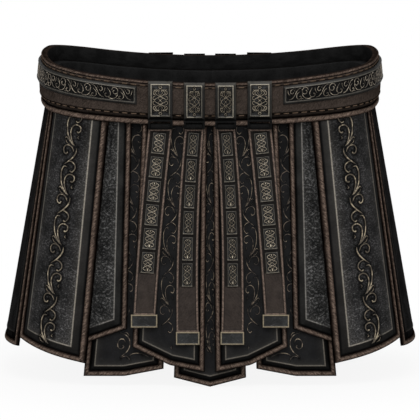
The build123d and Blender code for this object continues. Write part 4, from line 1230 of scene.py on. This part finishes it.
# %% Straps
for strap in straps:
    tongue, fold, tip = strap_tongue(strap), strap_fold(strap), strap_tip(strap)
    plates, knots = plaque_row(strap)
    for quarter, mirror in quarters:
        name = f"{quarter}_{strap}_strap"
        make_piece(f"{name}_tongue", tongue, strap_hide, name, (name,), mirror, weld=True)
        make_piece(f"{name}_fold", fold, black_hide, name, (), mirror, round_rows=True, weld=True)
        make_piece(f"{name}_plaques", plates, cast_steel, name, (f"{name}_fittings",), mirror, crease=30)
        make_piece(f"{name}_plaque_knots", knots, knot_metal, name, (), mirror, crease=60)
        make_piece(f"{name}_cap", tip, cap_steel, name, (), mirror, crease=30, weld=True)
for node in ("strap_brackets", "strap_bars"):
    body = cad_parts[node]
    body.data.materials.clear()
    body.data.materials.append(black_iron)
print("pieces:", len(pieces_made), "faces:", sum(count for _, count in pieces_made))

# %% [markdown]
# ## Light, floor and camera
# The picture was taken almost without perspective, from 7.4 degrees above level, so the
# camera stands far off with a long lens. Large soft lamps stand for a studio: one high in
# front and one at each side, level left and right as in the picture. The floor is plain and
# pale, white to the camera, and keeps a faint shadow.

# %% Studio
scene = bpy.context.scene
scene.view_settings.view_transform = "Standard"
camera_height, camera_distance = math.radians(7.4), 20.0
camera_data = bpy.data.cameras.new("camera")
camera_data.lens = 1588.0
camera = bpy.data.objects.new("camera", camera_data)
scene.collection.objects.link(camera)
aim_z = -0.1067
camera.location = (0, -camera_distance * math.cos(camera_height), aim_z + camera_distance * math.sin(camera_height))
camera.rotation_euler = (math.pi / 2 - camera_height, 0, 0)
scene.camera = camera


def lamp(name, place, size, power):
    """Square area lamp that looks at the skirt's middle."""
    data = bpy.data.lights.new(name, "AREA")
    data.shape, data.size, data.energy = "SQUARE", size, power
    light = bpy.data.objects.new(name, data)
    light.location = place
    towards = -np.array(place) + np.array([0, 0, -0.1])
    yaw = math.atan2(-towards[0], towards[1])
    pitch = math.atan2(math.hypot(towards[0], towards[1]), -towards[2])
    light.rotation_euler = (pitch, 0, yaw)
    scene.collection.objects.link(light)


lamp("high_front_lamp", (0.0, -1.7, 1.7), 1.2, 25.0)
lamp("left_lamp", (-1.9, -1.5, 0.9), 1.0, 1.8)
lamp("right_lamp", (1.9, -1.5, 0.9), 1.0, 1.8)
lamp("back_lamp", (0.0, 2.2, 1.4), 1.6, 10.0)

world = bpy.data.worlds.new("studio")
scene.world = world
world.use_nodes = True
tree = world.node_tree
tree.nodes.clear()
path = add(tree, "ShaderNodeLightPath").outputs
seen = sums(tree, "ADD", path["Is Camera Ray"], path["Is Transmission Ray"], True)
seen = sums(tree, "MAXIMUM", seen, sums(tree, "MULTIPLY", path["Is Glossy Ray"], 1.0))
strength = band(tree, seen, 0.0, 1.0, 0.3, 1.0)
sky = add(tree, "ShaderNodeBackground", {"Color": (1, 1, 1, 1), "Strength": strength})
tree.links.new(sky.outputs[0], add(tree, "ShaderNodeOutputWorld").inputs["Surface"])

floor_finish = bpy.data.materials.new("pale studio floor")
floor_finish.use_nodes = True
tree = floor_finish.node_tree
tree.nodes.clear()
grain = add(tree, "ShaderNodeTexNoise", {"Scale": 40.0, "Detail": 2.0})
tone = blend_colours(tree, band(tree, grain.outputs["Fac"], 0.3, 0.7), linear("#f6f6f6"), linear("#f9f9f9"))
matt = add(tree, "ShaderNodeBsdfDiffuse", {"Color": tone})
white = add(tree, "ShaderNodeEmission", {"Color": (1, 1, 1, 1), "Strength": 1.0})
path = add(tree, "ShaderNodeLightPath").outputs
floor_place = add(tree, "ShaderNodeTexCoord").outputs["Object"]
away = add(tree, "ShaderNodeVectorMath", {0: floor_place}, operation="LENGTH").outputs["Value"]
glow = sums(tree, "MULTIPLY", path["Is Camera Ray"], band(tree, away, 0.24, 0.55, 0.88, 1.0))
mixed = add(tree, "ShaderNodeMixShader", {0: glow, 1: matt.outputs[0], 2: white.outputs[0]})
tree.links.new(mixed.outputs[0], add(tree, "ShaderNodeOutputMaterial").inputs["Surface"])
floor_mesh = bpy.data.meshes.new("studio_floor")
reach, floor_z = 30.0, -0.2776
floor_mesh.from_pydata([(-reach, -reach, floor_z), (reach, -reach, floor_z), (reach, reach, floor_z), (-reach, reach, floor_z)], [], [(0, 1, 2, 3)])
floor_mesh.materials.append(floor_finish)
studio_floor = bpy.data.objects.new("studio_floor", floor_mesh)
scene.collection.objects.link(studio_floor)
studio_floor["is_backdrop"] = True

# %% Sizes and finish
visual_box = [list(corner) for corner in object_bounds()]
grown = [[round((b - a) * 1000, 1) for a, b in zip(c, v)] for c, v in zip(cad_box, visual_box)]
print("visual box against CAD box, mm:", grown)
